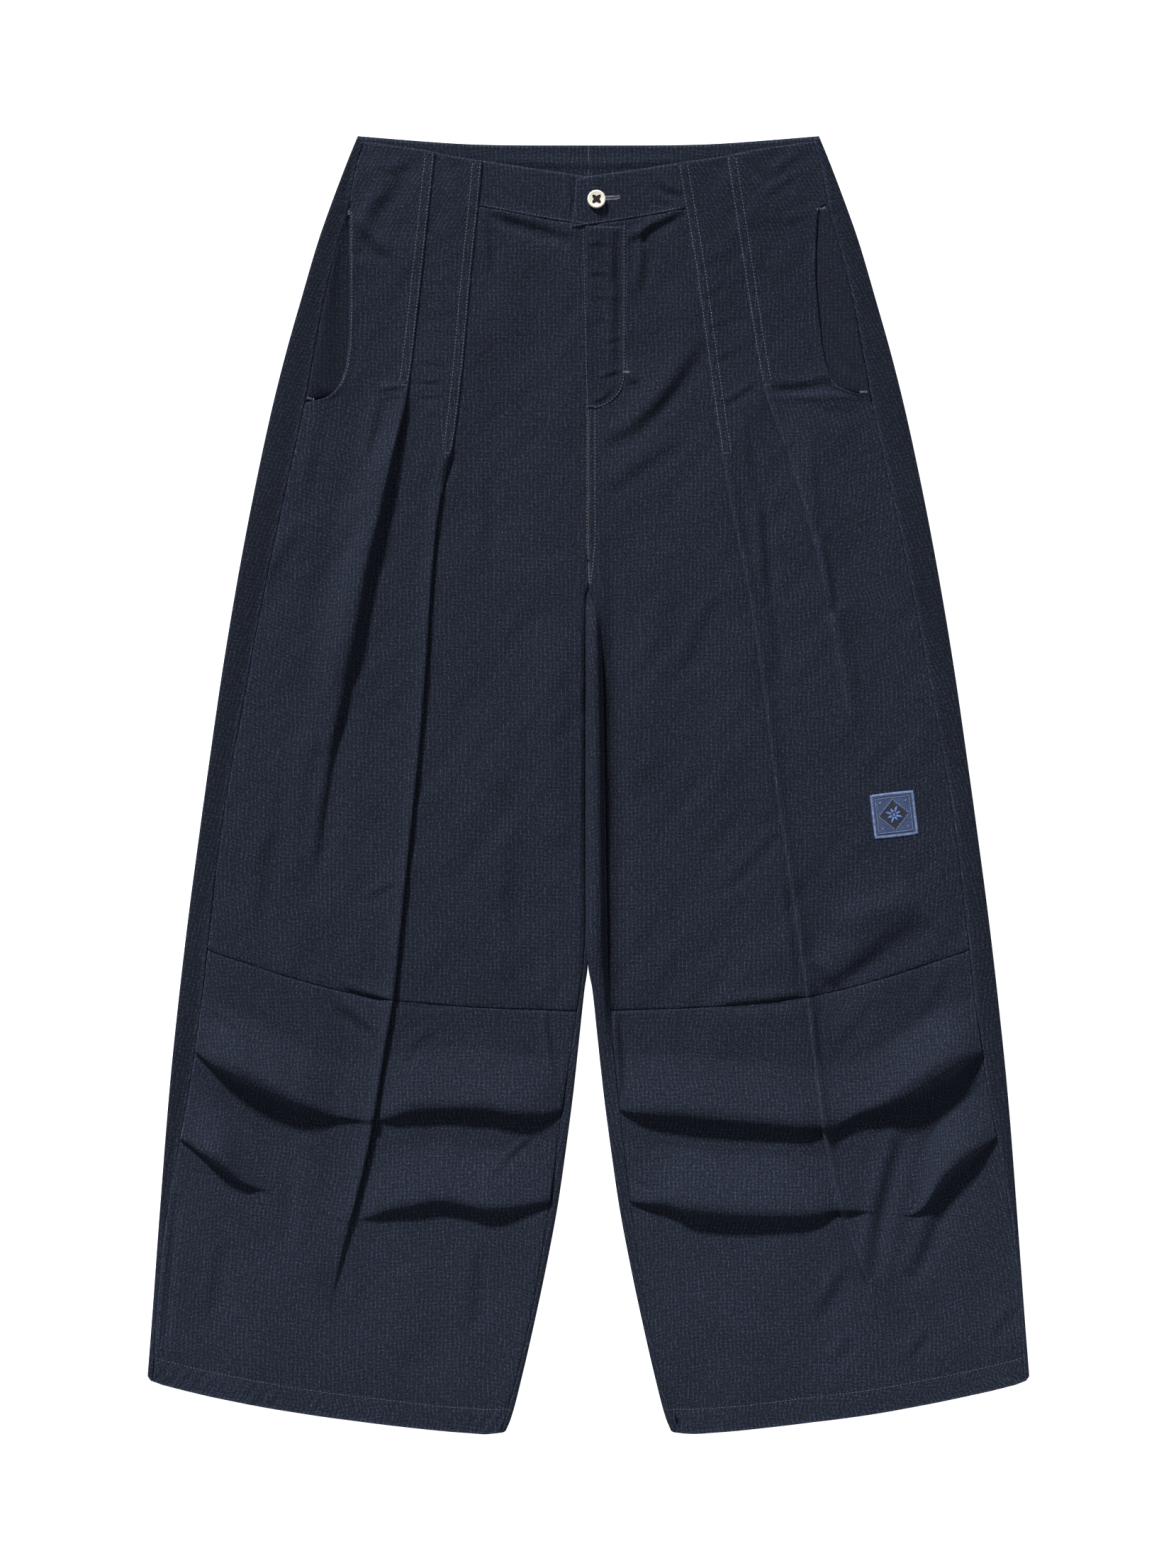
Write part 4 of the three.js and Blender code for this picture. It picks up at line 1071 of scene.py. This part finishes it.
for name, leg in legs.items():
    grid = refine(shin_grid(leg), front_cell, 0, least=2, edge_marks=panel_marks)
    grid = refine(grid, front_cell, 1, least=2, edge_marks=panel_marks)
    grid[..., 2] = np.maximum(grid[..., 2], front_level)
    wear_highlight_and_shade = fold_wear_and_highlight(leg, name, ["inner_pleat"], grid)
    grid[..., 2] += shin_relief(leg, name, grid[..., 0], grid[..., 1])
    grid, edges_worn = turn_edges(grid, ["first_column"])
    grid = turn_edges(grid, ["last_column", "first_row"])[0]
    hem_worn = bell(edge_distance(grid, "last_row"), 1.8)
    wear_highlight_and_shade = np.maximum(np.maximum(wear_highlight_and_shade, edges_worn), hem_worn)
    wear_highlight_and_shade = shin_paling * smooth_step(740, 900, grid[..., 1]) + wear_highlight_and_shade
    shin = cloth_piece(f"shin_panel_{name}", grid, leg["side"], cloth_thickness, wear_highlight_and_shade, "shin")
    finish_cloth(shin, f"shin_{name}", navy_cotton)


# Waistbands
# Two short bands between the inner pleats and the centre front, sewn on with one row of stitches.
# The left one laps over the right one with a slanted end.
small_cell = 3
lap_rise = 1.3
lap_start = 13
lap_full = 5
lap_end = {"top": -9.5, "bottom": -13.5}
band_under_pleat = 1.5
band_end_down = 58.0
lowest_band_relief = -1.8


def band_grid(leg):
    """A waistband's points, from under the pleat to the centre."""
    rows = []
    on_left = leg["side"] > 0
    for share in np.linspace(0, 1, 16):
        end = mix(lap_end["top"], lap_end["bottom"], share) if on_left else seam_gap / 2
        start = leg["inner_pleat"]["out"](band_end_down) + band_under_pleat
        out = np.linspace(start, end, 45)
        down = mix(front_waist(out), band_seam(out) - seam_gap / 2, share)
        lap = smooth_step(lap_start, lap_full, out) * on_left
        rows.append(np.stack([out, down, front_level + lap * lap_rise], axis=-1))
    return np.array(rows)


for name, leg in legs.items():
    grid = refine(band_grid(leg), small_cell, 0, edge_marks=narrow_marks)
    grid = refine(grid, small_cell, 1, edge_marks=narrow_marks)
    out, down = grid[..., 0], grid[..., 1]
    relief = cloth_waves(leg, out, down) + crease_relief(front_creases[name], leg["side"], out, down)
    relief += seam_pucker(down - band_seam(out), out, *puckers["band_seam"])
    dip = waist_dip * smooth_step(waist_dip_reach, 0, down - front_waist(out))
    relief -= dip * (leg["side"] < 0)
    grid[..., 2] += np.maximum(relief, lowest_band_relief)
    grid, wear_highlight_and_shade = turn_edges(grid, ["last_column", "first_row", "last_row"])
    band = cloth_piece(f"waistband_piece_{name}", grid, leg["side"], cloth_thickness, wear_highlight_and_shade, "band")
    finish_cloth(band, f"waistband_{name}", navy_cotton)


# Pocket facings
# A strip of the same cotton, its plainer inner side up, that closes each pocket behind its mouth. Its
# ends are sunk, so that they lie hidden under the front.
facing_levels = {"side": 3.9, "mouth": 1.7, "hidden": 1.3}
facing_floor = 0.9
facing_sunk = 1.6
facing_wave_height = 0.15
facing_waves = (9, 30, 71)
facing_width = 10
facing_thickness = 0.4
# How much darker each facing is painted: a little for its plainer inner side, and more on the right leg as
# painted shade.
facing_tone_and_shade = {"right": -0.35, "left": -0.1}
facing_creases = {
    "right": [
        [(224, 203), (214, 208), (204, 208), 0, 0.8, 4],
        [(203, 60), (206, 130), (210, 205), 0, 0.8, 7],
    ],
    "left": [[(191, 148), (203, 170), (214, 196), 0, 0.8, 4]],
}
inner_cotton = crinkled_cotton("navy_cotton_inner_side", (0x12151d, 0x1c212b, 0x272d3a, 0x3c4353))

for name, leg in legs.items():
    downs = np.linspace(46, 224, 61)
    side = side_seam(downs) - 0.1
    mouth = np.minimum(leg["pocket_mouth"](downs), side - 1)
    hidden = mouth - facing_width
    sunk = facing_sunk * (smooth_step(58, 50, downs) + smooth_step(209, 218, downs))
    rows = []
    for start, end, low, high in (
        (side, mouth, "side", "mouth"),
        (mouth, hidden, "mouth", "hidden"),
    ):
        for share in np.linspace(0, 1, 7)[: 7 if low == "mouth" else 6]:
            level = mix(facing_levels[low], facing_levels[high], share)
            height = np.maximum(level - sunk, facing_floor)
            rows.append(np.stack([mix(start, end, share), downs, height], axis=-1))
    grid = refine(np.stack(rows, axis=1), small_cell, 1)
    out, down = grid[..., 0], grid[..., 1]
    grid[..., 2] += facing_wave_height * ripple(out, down, *facing_waves)
    grid[..., 2] += crease_relief(facing_creases[name], leg["side"], out, down)
    wear_highlight_and_shade = np.full(grid.shape[:2], facing_tone_and_shade[name])
    facing = cloth_piece(f"pocket_lining_{name}", grid, leg["side"], facing_thickness, wear_highlight_and_shade, "facing")
    finish_cloth(
        facing, f"pocket_facing_{name}", inner_cotton,
    )


# Fly flap
# The outer layer over the zip, stitched to the left front in a J. Its free edge is the centre front,
# and it follows the front's own waves, with short wrinkles of its own along that edge.
fly_edge = read_table(["down", "out"], [
    [73, 29.5], [190, 29.5], [203, 27.5], [212, 21.5], [218, 13], [220.5, 6],
])["out"]
fly_lap = -2
fly_level = front_level + 0.9
fly_thickness = 0.4
fly_edge_drop = 0.6
fly_creases = [
    [(0, 90), (8, 88), (17, 90), 0, 1.0, 2.5],
    [(0, 113), (8, 112), (17, 114), 0, 1.1, 2.5],
    [(0, 133), (10, 131), (24, 134), 0, 0.7, 2.5],
    [(1, 152), (10, 150), (20, 153), 0, 0.6, 2.4],
    [(12, 168), (20, 166), (28, 164), 0, 0.9, 2.5],
    [(8, 197), (16, 194), (27, 190), 0, 1.0, 2.5],
    [(20, 78), (20, 96), (20, 119), 0, 0.9, 3],
    [(3, 215), (12, 213), (21, 203), 0, 1.0, 3],
]
fly_shade = 0.2
lowest_fly_crease = -0.7
downs = np.concatenate([np.arange(73.5, 190, 2.2), np.arange(190, 220.5, 1.1), [220.5]])
grid = np.stack([
    np.stack([mix(fly_edge(downs), fly_lap, share), downs, 0 * downs + fly_level], axis=-1)
    for share in np.linspace(0, 1, 15)
], axis=1)
grid = refine(grid, small_cell, 1, edge_marks=narrow_marks)
relief = front_relief(legs["left"], "left", grid[..., 0], grid[..., 1])
wrinkles = crease_relief(fly_creases, 1, grid[..., 0], grid[..., 1])
grid[..., 2] += relief + np.maximum(wrinkles, lowest_fly_crease)
grid, wear_highlight_and_shade = turn_edges(grid, ["first_column", "last_column", "first_row", "last_row"], fly_edge_drop)
wear_highlight_and_shade = 0.5 * wear_highlight_and_shade - fly_shade
flap = cloth_piece("fly_facing", grid, 1, fly_thickness, wear_highlight_and_shade, "flap")
finish_cloth(flap, "fly_flap", navy_cotton)


# Stitching
# Grey-lilac cotton thread, one small raised stitch every 2.6 mm, with bar tacks where seams end.
# Each stitch is a short pointed bead that follows the cloth under it.
stitch_pitch = 2.6
stitch_length = 1.7
thread_width = {"seam_stitches": 0.5, "fine_seam_stitches": 0.34}
thread_rise = 0.2
mouth_inset = 2.2
band_inset = 1.7
hem_row_level = 84
fly_inset = 0.6

corners, faces = [], []
for piece in cloth_pieces:
    start = len(corners)
    corners += [tuple(v.co) for v in piece.data.vertices]
    faces += [[start + i for i in face.vertices] for face in piece.data.polygons]
cloth_surface = BVHTree.FromPolygons(corners, faces)


def on_cloth(x, down, lift=0.0):
    """The point of the cloth seen from above at a place, in metres. x is signed, to the wearer's left."""
    place = Vector((x * MM, (garment_length / 2 - down) * MM, 0.2))
    hit = cloth_surface.ray_cast(place, Vector((0, 0, -1)))[0]
    return hit + Vector((0, 0, lift * MM)) if hit else None


def along_path(points, pitch):
    """Places at an even pitch along a path of (x, down) points."""
    points = np.array(points, float)
    run = np.concatenate([[0], np.cumsum(np.hypot(*np.diff(points, axis=0).T))])
    marks = np.arange(0, run[-1] + 1e-6, pitch)
    return np.stack([np.interp(marks, run, points[:, i]) for i in (0, 1)], axis=-1)


def running_stitches(points, pitch=stitch_pitch, length=stitch_length):
    """The (start, end) of each stitch along a path."""
    places = along_path(points, pitch)
    stitches = []
    for here, after in zip(places[:-1], places[1:]):
        step = (after - here) / np.hypot(*(after - here))
        stitches.append((here, here + step * length))
    return stitches


def cross_stitches(points, pitch, width, slant=0.0):
    """Stitches laid close across a path, as a bar tack or an overcast edge has."""
    places = along_path(points, pitch)
    stitches = []
    for here, after in zip(places[:-1], places[1:]):
        step = (after - here) / np.hypot(*(after - here))
        side = np.array([-step[1], step[0]]) + slant * step
        stitches.append((here - side * width / 2, here + side * width / 2))
    return stitches


def thread_mesh(name, stitches, width, rise, lift=0.0, surface=on_cloth):
    """One joined mesh of stitches, each a bead with six sides, pointed at its ends."""
    sides, rings = 6, (0.16, 0.5, 0.84)
    verts, polygons = [], []
    for start, end in stitches:
        a, b = surface(*start, lift), surface(*end, lift)
        if a is None or b is None:
            continue
        along = b - a
        if along.length < 1e-5:
            continue
        across = along.cross(Vector((0, 0, 1))).normalized()
        up = across.cross(along).normalized()
        first = len(verts)
        verts.append(a)
        for share in rings:
            swell = math.sin(math.pi * share) ** 0.5
            for k in range(sides):
                angle = 2 * math.pi * k / sides
                offset = across * math.cos(angle) * width / 2 + up * (math.sin(angle) * rise + 0.3 * rise)
                verts.append(a.lerp(b, share) + offset * swell * MM)
        verts.append(b)
        for k in range(sides):
            n = (k + 1) % sides
            polygons.append((first, first + 1 + n, first + 1 + k))
            for ring in range(len(rings) - 1):
                base = first + 1 + ring * sides
                polygons.append((base + k, base + n, base + sides + n, base + sides + k))
            base = first + 1 + (len(rings) - 1) * sides
            polygons.append((base + k, base + n, first + 1 + len(rings) * sides))
    return new_piece(name, verts, polygons)


def spun_thread(name, shade, deeper):
    """Spun cotton thread: matt, a little uneven in shade from stitch to stitch."""
    material = new_material(name)
    tree = material.node_tree
    place = add_node(tree, "ShaderNodeTexCoord").outputs["Object"]
    mottle = add_noise(tree, place, 1 / (3 * MM), 2.0, dimensions="3D")
    shades = add_ramp(tree, mottle, [(0.35, deeper), (0.65, shade)])
    return add_surface(material, {"Base Color": shades, "Roughness": 0.75, "Sheen Weight": 0.15})


lilac_thread = spun_thread("lilac_grey_cotton_thread", 0x7c7f8d, 0x575a69)
stitches = []
fine_stitches = []
tacks = []
for name, leg in legs.items():
    side = leg["side"]
    for pleat, last in pleat_stitch_ends.items():
        line = leg[pleat]["out"]
        first = front_waist(line(15.0)) + 2
        downs = np.arange(first, last, 2.0)
        for behind in pleat_rows:
            stitches += running_stitches([(side * (line(d) + behind), d) for d in downs])
        ends = [(side * (line(last) + behind), last) for behind in pleat_rows]
        tacks += running_stitches(ends, 1.6, 1.3)
    mouth = leg["pocket_mouth"]
    downs = np.arange(62, 206 if name == "right" else 66, 2.0)
    stitches += running_stitches([(side * (mouth(d) - mouth_inset), d) for d in downs])
    hem = np.arange(63, 352, 2.0)
    hem_row = [(side * out, hem_edge(max(out, hem_row_level)) - hem_depth) for out in hem]
    fine_stitches += running_stitches(hem_row)
    band = np.arange(1 if name == "right" else -12, leg["inner_pleat"]["out"](band_end_down) - 1, 2.0)
    fine_stitches += running_stitches([(side * out, band_seam(out) - band_inset) for out in band])

fly_row = [(-0.6, 220), (-1.8, 180), (-3.2, 120), (-3.8, 73)]
fine_stitches += running_stitches(fly_row)
j_row = [(fly_edge(d) - fly_inset, d) for d in np.arange(72, 213, 3.0)]
j_row += [(fly_edge(d) - fly_inset, d) for d in (214, 216, 218, 219)] + [(4, 220)]
stitches += running_stitches(j_row)
crotch_rows = [
    [(-1.0, 223), (-1.0, 330), (0.6, 352), (1.0, 364)],
    [(5.4, 223), (5.4, 330), (3.0, 352), (1.6, 364)],
]
for row in crotch_rows:
    stitches += running_stitches(row)

bar_tacks = [
    [(28, 191.5), (33.8, 191.5)],
    [(-1, 219.5), (5.5, 219.5)],
    [(-193.5, 59), (-193.5, 65)],
    [(-222, 213.5), (-228, 212)],
    [(185, 60), (192, 58)],
    [(219.5, 207.6), (226, 207.4)],
]
for tack in bar_tacks:
    tacks += cross_stitches(tack, 0.55, 2.4)

seam_threads = [
    thread_mesh("seam_stitches", stitches, thread_width["seam_stitches"], thread_rise),
    thread_mesh("fine_seam_stitches", fine_stitches, thread_width["fine_seam_stitches"], thread_rise),
    thread_mesh("bar_tacks", tacks, 0.5, 0.25),
]
for piece in seam_threads:
    finish_piece(piece, lilac_thread)


# Buttonhole and button
# The buttonhole is overcast in the same thread round a slit in the left waistband; the slit itself is a
# dark strip of painted shadow. The button is a turned cream resin disc on a shank, with a plain four-petal
# flower let in in black.
button_x = 6.6
button_down = 52
button_radius = 7.4
button_height = 2.3
hole_start = 13.2
hole_end = 24
hole_half = 1.5
hole_slope = 0.05


def hole_line(x, offset):
    """A place beside the buttonhole's slit."""
    return (x, button_down - 1 - hole_slope * (x - hole_start) + offset)


hole = []
for offset in (-hole_half, hole_half):
    path = [hole_line(x, offset * 0.75) for x in (hole_start, hole_end)]
    hole += cross_stitches(path, 0.62, 1.9, 0.15)
end_tack = [hole_line(hole_end + 0.5, offset) for offset in (-hole_half - 0.5, hole_half + 0.5)]
hole += cross_stitches(end_tack, 0.6, 2.4)
buttonhole = thread_mesh("buttonhole_stitches", hole, 0.55, 0.3, 0.05)
finish_piece(buttonhole, lilac_thread)

# The dark beads along the buttonhole's slit are painted shadow for the opening; the same dark thread also
# fills the patch's lozenge.
dark_thread_and_slit_shadow = spun_thread("dark_navy_thread_and_slit_shadow", 0x1a1c26, 0x0f1018)
slit_path = [hole_line(hole_start - 1, 0), hole_line(hole_end - 0.5, 0)]
slit = thread_mesh("buttonhole_slit_shadow", running_stitches(slit_path, 2.2, 2.6), 0.8, 0.18, 0.05)
finish_piece(slit, dark_thread_and_slit_shadow)


def turned_disc(name, profile, place, steps=72):
    """A solid turned from a profile of (radius, height), closed on its axis at both ends."""
    verts, polygons = [], []
    for radius, height in profile:
        if radius == 0:
            verts.append((0, 0, height))
            continue
        for k in range(steps):
            angle = 2 * math.pi * k / steps
            verts.append((radius * math.cos(angle), radius * math.sin(angle), height))
    rings = [list(range(1 + i * steps, 1 + (i + 1) * steps)) for i in range(len(profile) - 2)]
    last = len(verts) - 1
    for k in range(steps):
        n = (k + 1) % steps
        polygons.append((0, rings[0][n], rings[0][k]))
        polygons.append((last, rings[-1][k], rings[-1][n]))
        for lower, upper in zip(rings[:-1], rings[1:]):
            polygons.append((lower[k], lower[n], upper[n], upper[k]))
    return new_piece(name, [place + Vector(v) * MM for v in verts], polygons)


def cast_resin(name, shade, vein):
    """Cast polyester resin, turned and tumbled: cream, faintly cloudy, with a soft gloss."""
    material = new_material(name)
    tree = material.node_tree
    place = add_node(tree, "ShaderNodeTexCoord").outputs["Object"]
    cloud = add_noise(tree, place, 1 / (4 * MM), 3.0, dimensions="3D", distortion=0.6)
    shades = add_ramp(tree, cloud, [(0.3, vein), (0.6, shade)])
    return add_surface(material, {"Base Color": shades, "Roughness": 0.32, "IOR": 1.54})


button_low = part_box("button")[0]
button_place = Vector((button_x * MM, (garment_length / 2 - button_down) * MM, button_low.z))
dish = button_height - 0.25
button_profile = [
    (0, 0), (button_radius - 1.2, 0), (button_radius - 0.3, 0.35), (button_radius, 1.0),
    (button_radius - 0.1, 1.7), (button_radius - 0.5, button_height - 0.15),
    (button_radius - 1.0, button_height), (button_radius - 1.5, button_height - 0.08),
    (button_radius - 2.1, dish), (2, dish - 0.05), (0, dish - 0.05),
]
button = turned_disc("waist_button", button_profile, button_place)
finish_piece(button, cast_resin("cream_cast_resin", 0xefeade, 0xe4dcc8), "button")


def petal_inlay(name, place, level):
    """Four petals and a centre dot, as thin plates let into the button's face."""
    verts, polygons = [], []
    outline = 20
    plates = [(2.75, 1.55, 2.55, 45 + 90 * i) for i in range(4)] + [(0.75, 0.75, 0, 0)]
    for length, width, away, degrees in plates:
        turn = math.radians(degrees)
        first = len(verts)
        for height in (level - 0.05, level + 0.05):
            for k in range(outline):
                angle = 2 * math.pi * k / outline
                reach = away + length * math.cos(angle) * 0.75
                across = width * math.sin(angle) * (1 - 0.25 * math.cos(angle))
                x = reach * math.cos(turn) - across * math.sin(turn)
                y = reach * math.sin(turn) + across * math.cos(turn)
                verts.append(tuple(place + Vector((x, y, height)) * MM))
        polygons.append(tuple(first + outline + k for k in range(outline)))
        polygons.append(tuple(first + outline - 1 - k for k in range(outline)))
        for k in range(outline):
            n = (k + 1) % outline
            polygons.append((first + k, first + n, first + outline + n, first + outline + k))
    return new_piece(name, verts, polygons, smooth=False)


inlay = petal_inlay("button_flower", button_place, dish)
finish_piece(inlay, cast_resin("black_resin_fill", 0x24201c, 0x161412))


# Leg patch
# A small square of blue twill, overcast all round in light blue and sewn above the left knee. Its
# embroidery is a plain dark lozenge with an eight-petal flower, inside a double line.
patch_x = 247
patch_down = 549
patch_side = 35.5
patch_turn = math.radians(6.5)
patch_cells = 44
patch_bow = 0.35
patch_crown = 0.55
overcast_inset = 0.95
line_inset = 3.9
border_inset = 3.0


def on_patch(u, v, lift=0.0):
    """A point of the patch's face. u and v are in millimetres from its middle, along its sides."""
    half = patch_side / 2
    bow = patch_bow * math.cos(math.pi * u / patch_side) * (1 if v > 0 else -1) * abs(v / half) ** 3
    x = patch_x + u * math.cos(patch_turn) - (v + bow) * math.sin(patch_turn)
    y = u * math.sin(patch_turn) + (v + bow) * math.cos(patch_turn)
    cloth = on_cloth(x, patch_down - y)
    edge = max(abs(u), abs(v)) / half
    uneven = 0.15 * math.sin(0.35 * u + 0.6) * math.sin(0.3 * v)
    crown = patch_crown - 0.35 * smooth_step(0.9, 1.0, edge) + uneven
    return cloth + Vector((0, 0, (crown + lift) * MM))


def blue_twill(name):
    """Blue cotton twill woven with dark and pale threads, in diagonal ribs under a millimetre apart."""
    material = new_material(name)
    tree = material.node_tree
    place = add_node(tree, "ShaderNodeUVMap", {"uv_map": "grain"}).outputs["UV"]
    rib = add_node(
        tree, "ShaderNodeTexWave", {"bands_direction": "DIAGONAL"},
        {"Vector": place, "Scale": 1 / (3.5 * MM), "Distortion": 1.5, "Detail": 2.0, "Detail Scale": 3.0},
    ).outputs["Fac"]
    fleck = add_noise(tree, place, 1 / (0.9 * MM), 3.0, dimensions="3D")
    threads = add_maths(tree, "MULTIPLY_ADD", rib, 0.14, fleck)
    relief = {"Height": threads, "Strength": 0.5, "Distance": 0.2 * MM}
    return add_surface(material, {
        "Base Color": add_ramp(tree, threads, [(0.38, 0x141c2e), (0.78, 0x4c5f8b)]),
        "Roughness": 0.85, "Normal": add_node(tree, "ShaderNodeBump", None, relief).outputs[0],
    })


spread = np.linspace(-patch_side / 2, patch_side / 2, patch_cells + 1)
patch_corners = [on_patch(u, v, lift) for lift in (0.0, -0.5) for v in spread for u in spread]
patch = new_piece("leg_patch", patch_corners, shell_faces(patch_cells + 1, patch_cells + 1))
add_grain(patch.data, [(u * MM, v * MM) for v in spread for u in spread] * 2)
finish_piece(patch, blue_twill("blue_cotton_twill"), "patch")


def square_path(half):
    """The corners of a square round the patch's middle, closed."""
    return [(-half, -half), (half, -half), (half, half), (-half, half), (-half, -half)]


def lozenge_path(half):
    """The corners of a square on its point, closed."""
    return [(0, -half), (half, 0), (0, half), (-half, 0), (0, -half)]


def along_sides(corners, sew, *measures):
    """The same stitches along each side of a closed path."""
    sides = zip(corners[:-1], corners[1:])
    return [stitch for start, end in sides for stitch in sew([start, end], *measures)]


light_blue = spun_thread("light_blue_rayon_thread", 0x8599c4, 0x6075a6)
mid_blue = spun_thread("mid_blue_rayon_thread", 0x6f93d8, 0x4a6cb4)
lozenge_half = 12.6
cross_place = 10.4
cross_arm = 1.4
overcast_path = square_path(patch_side / 2 - overcast_inset)
overcast = along_sides(overcast_path, cross_stitches, 0.85, 2.4, 0.25)
inner_line = along_sides(square_path(patch_side / 2 - line_inset), running_stitches, 1.5, 1.5)
inner_line += along_sides(lozenge_path(lozenge_half), running_stitches, 1.3, 1.3)
for u in (-cross_place, cross_place):
    for v in (-cross_place, cross_place):
        centre = np.array([u, v])
        for arm in (np.array([cross_arm, 0]), np.array([0, cross_arm])):
            inner_line.append((centre - arm, centre + arm))
dark_fill = []
for v in np.arange(-lozenge_half + 0.7, lozenge_half - 0.6, 0.5):
    reach = lozenge_half - abs(v) - 0.5
    if reach > 0.4:
        pitch, length = min(2.4, 2 * reach), min(2.6, 2 * reach)
        dark_fill += running_stitches([(-reach, v), (reach, v)], pitch, length)
dark_fill += along_sides(square_path(patch_side / 2 - border_inset), running_stitches, 1.6, 1.7)
petals = []
petal_count = 8
petal_length = (6.2, 7.6)
for k in range(petal_count):
    heading = math.radians(22.5 + 45 * k)
    long = petal_length[k % 2]
    ray = np.array([math.cos(heading), math.sin(heading)])
    aside = np.array([-ray[1], ray[0]])
    for lean in (-0.9, -0.45, 0, 0.45, 0.9):
        reach = long - 1.6 * abs(lean)
        petals.append((ray * 1.6 + aside * lean * 0.5, ray * reach + aside * lean * 0.7))
centre_stitches = [(np.array([-1.1, v]), np.array([1.1, v])) for v in (-0.8, -0.3, 0.2, 0.7)]

embroidery = [
    ("patch_overcast_edge", overcast, 0.75, 0.32, 0.1, light_blue),
    ("patch_lines", inner_line, 0.55, 0.22, 0.1, light_blue),
    ("patch_lozenge", dark_fill, 0.62, 0.12, 0.02, dark_thread_and_slit_shadow),
    ("patch_flower", petals, 0.6, 0.26, 0.22, mid_blue),
    ("patch_flower_middle", centre_stitches, 0.6, 0.26, 0.4, light_blue),
]
for name, rows, width, rise, lift, material in embroidery:
    piece = thread_mesh(name, rows, width, rise, lift, on_patch)
    finish_piece(piece, material)


# Studio
# A plain pale floor, one large soft key light from beyond the wearer's right hip, and an even fill.
# The camera looks straight down, as the photograph does.
floor_side = 12.0
half = floor_side / 2
floor_corners = [(-half, -half, 0), (half, -half, 0), (half, half, 0), (-half, half, 0)]
floor = new_piece("floor", floor_corners, [(0, 1, 2, 3)], smooth=False)
floor.data.materials.append(add_surface(new_material("matt_white_paper"), {
    "Base Color": hex_colour(0xf4f4f4), "Roughness": 0.95, "Specular IOR Level": 0.1,
    "Emission Color": hex_colour(0xffffff), "Emission Strength": 1.0,
}))

key_elevation = math.radians(27)
key = bpy.data.lights.new("key", "SUN")
key.energy = 5.4
key.angle = math.radians(7)
key_light = bpy.data.objects.new("key", key)
bpy.context.scene.collection.objects.link(key_light)
towards_key = Vector((
    -math.sin(lit_from) * math.cos(key_elevation),
    math.cos(lit_from) * math.cos(key_elevation),
    math.sin(key_elevation),
))
key_light.rotation_mode = "QUATERNION"
key_light.rotation_quaternion = towards_key.to_track_quat("Z", "Y")

world = bpy.data.worlds.new("studio")
bpy.context.scene.world = world
world.use_nodes = True
fill = world.node_tree.nodes["Background"]
fill.inputs["Color"].default_value = (1.0, 1.0, 1.0, 1.0)
fill.inputs["Strength"].default_value = 0.35

sensor_width = 36
view_height = 3.5
view_long_side = 1.2686
camera_data = bpy.data.cameras.new("overhead")
camera_data.sensor_fit = "AUTO"
camera_data.sensor_width = sensor_width
camera_data.lens = sensor_width * view_height / view_long_side
camera_data.clip_end = 50
camera = bpy.data.objects.new("overhead", camera_data)
camera.location = (-0.0003, 0.0008, view_height)
bpy.context.scene.collection.objects.link(camera)
bpy.context.scene.camera = camera
bpy.context.scene.view_settings.view_transform = "Standard"

bpy.context.view_layer.update()
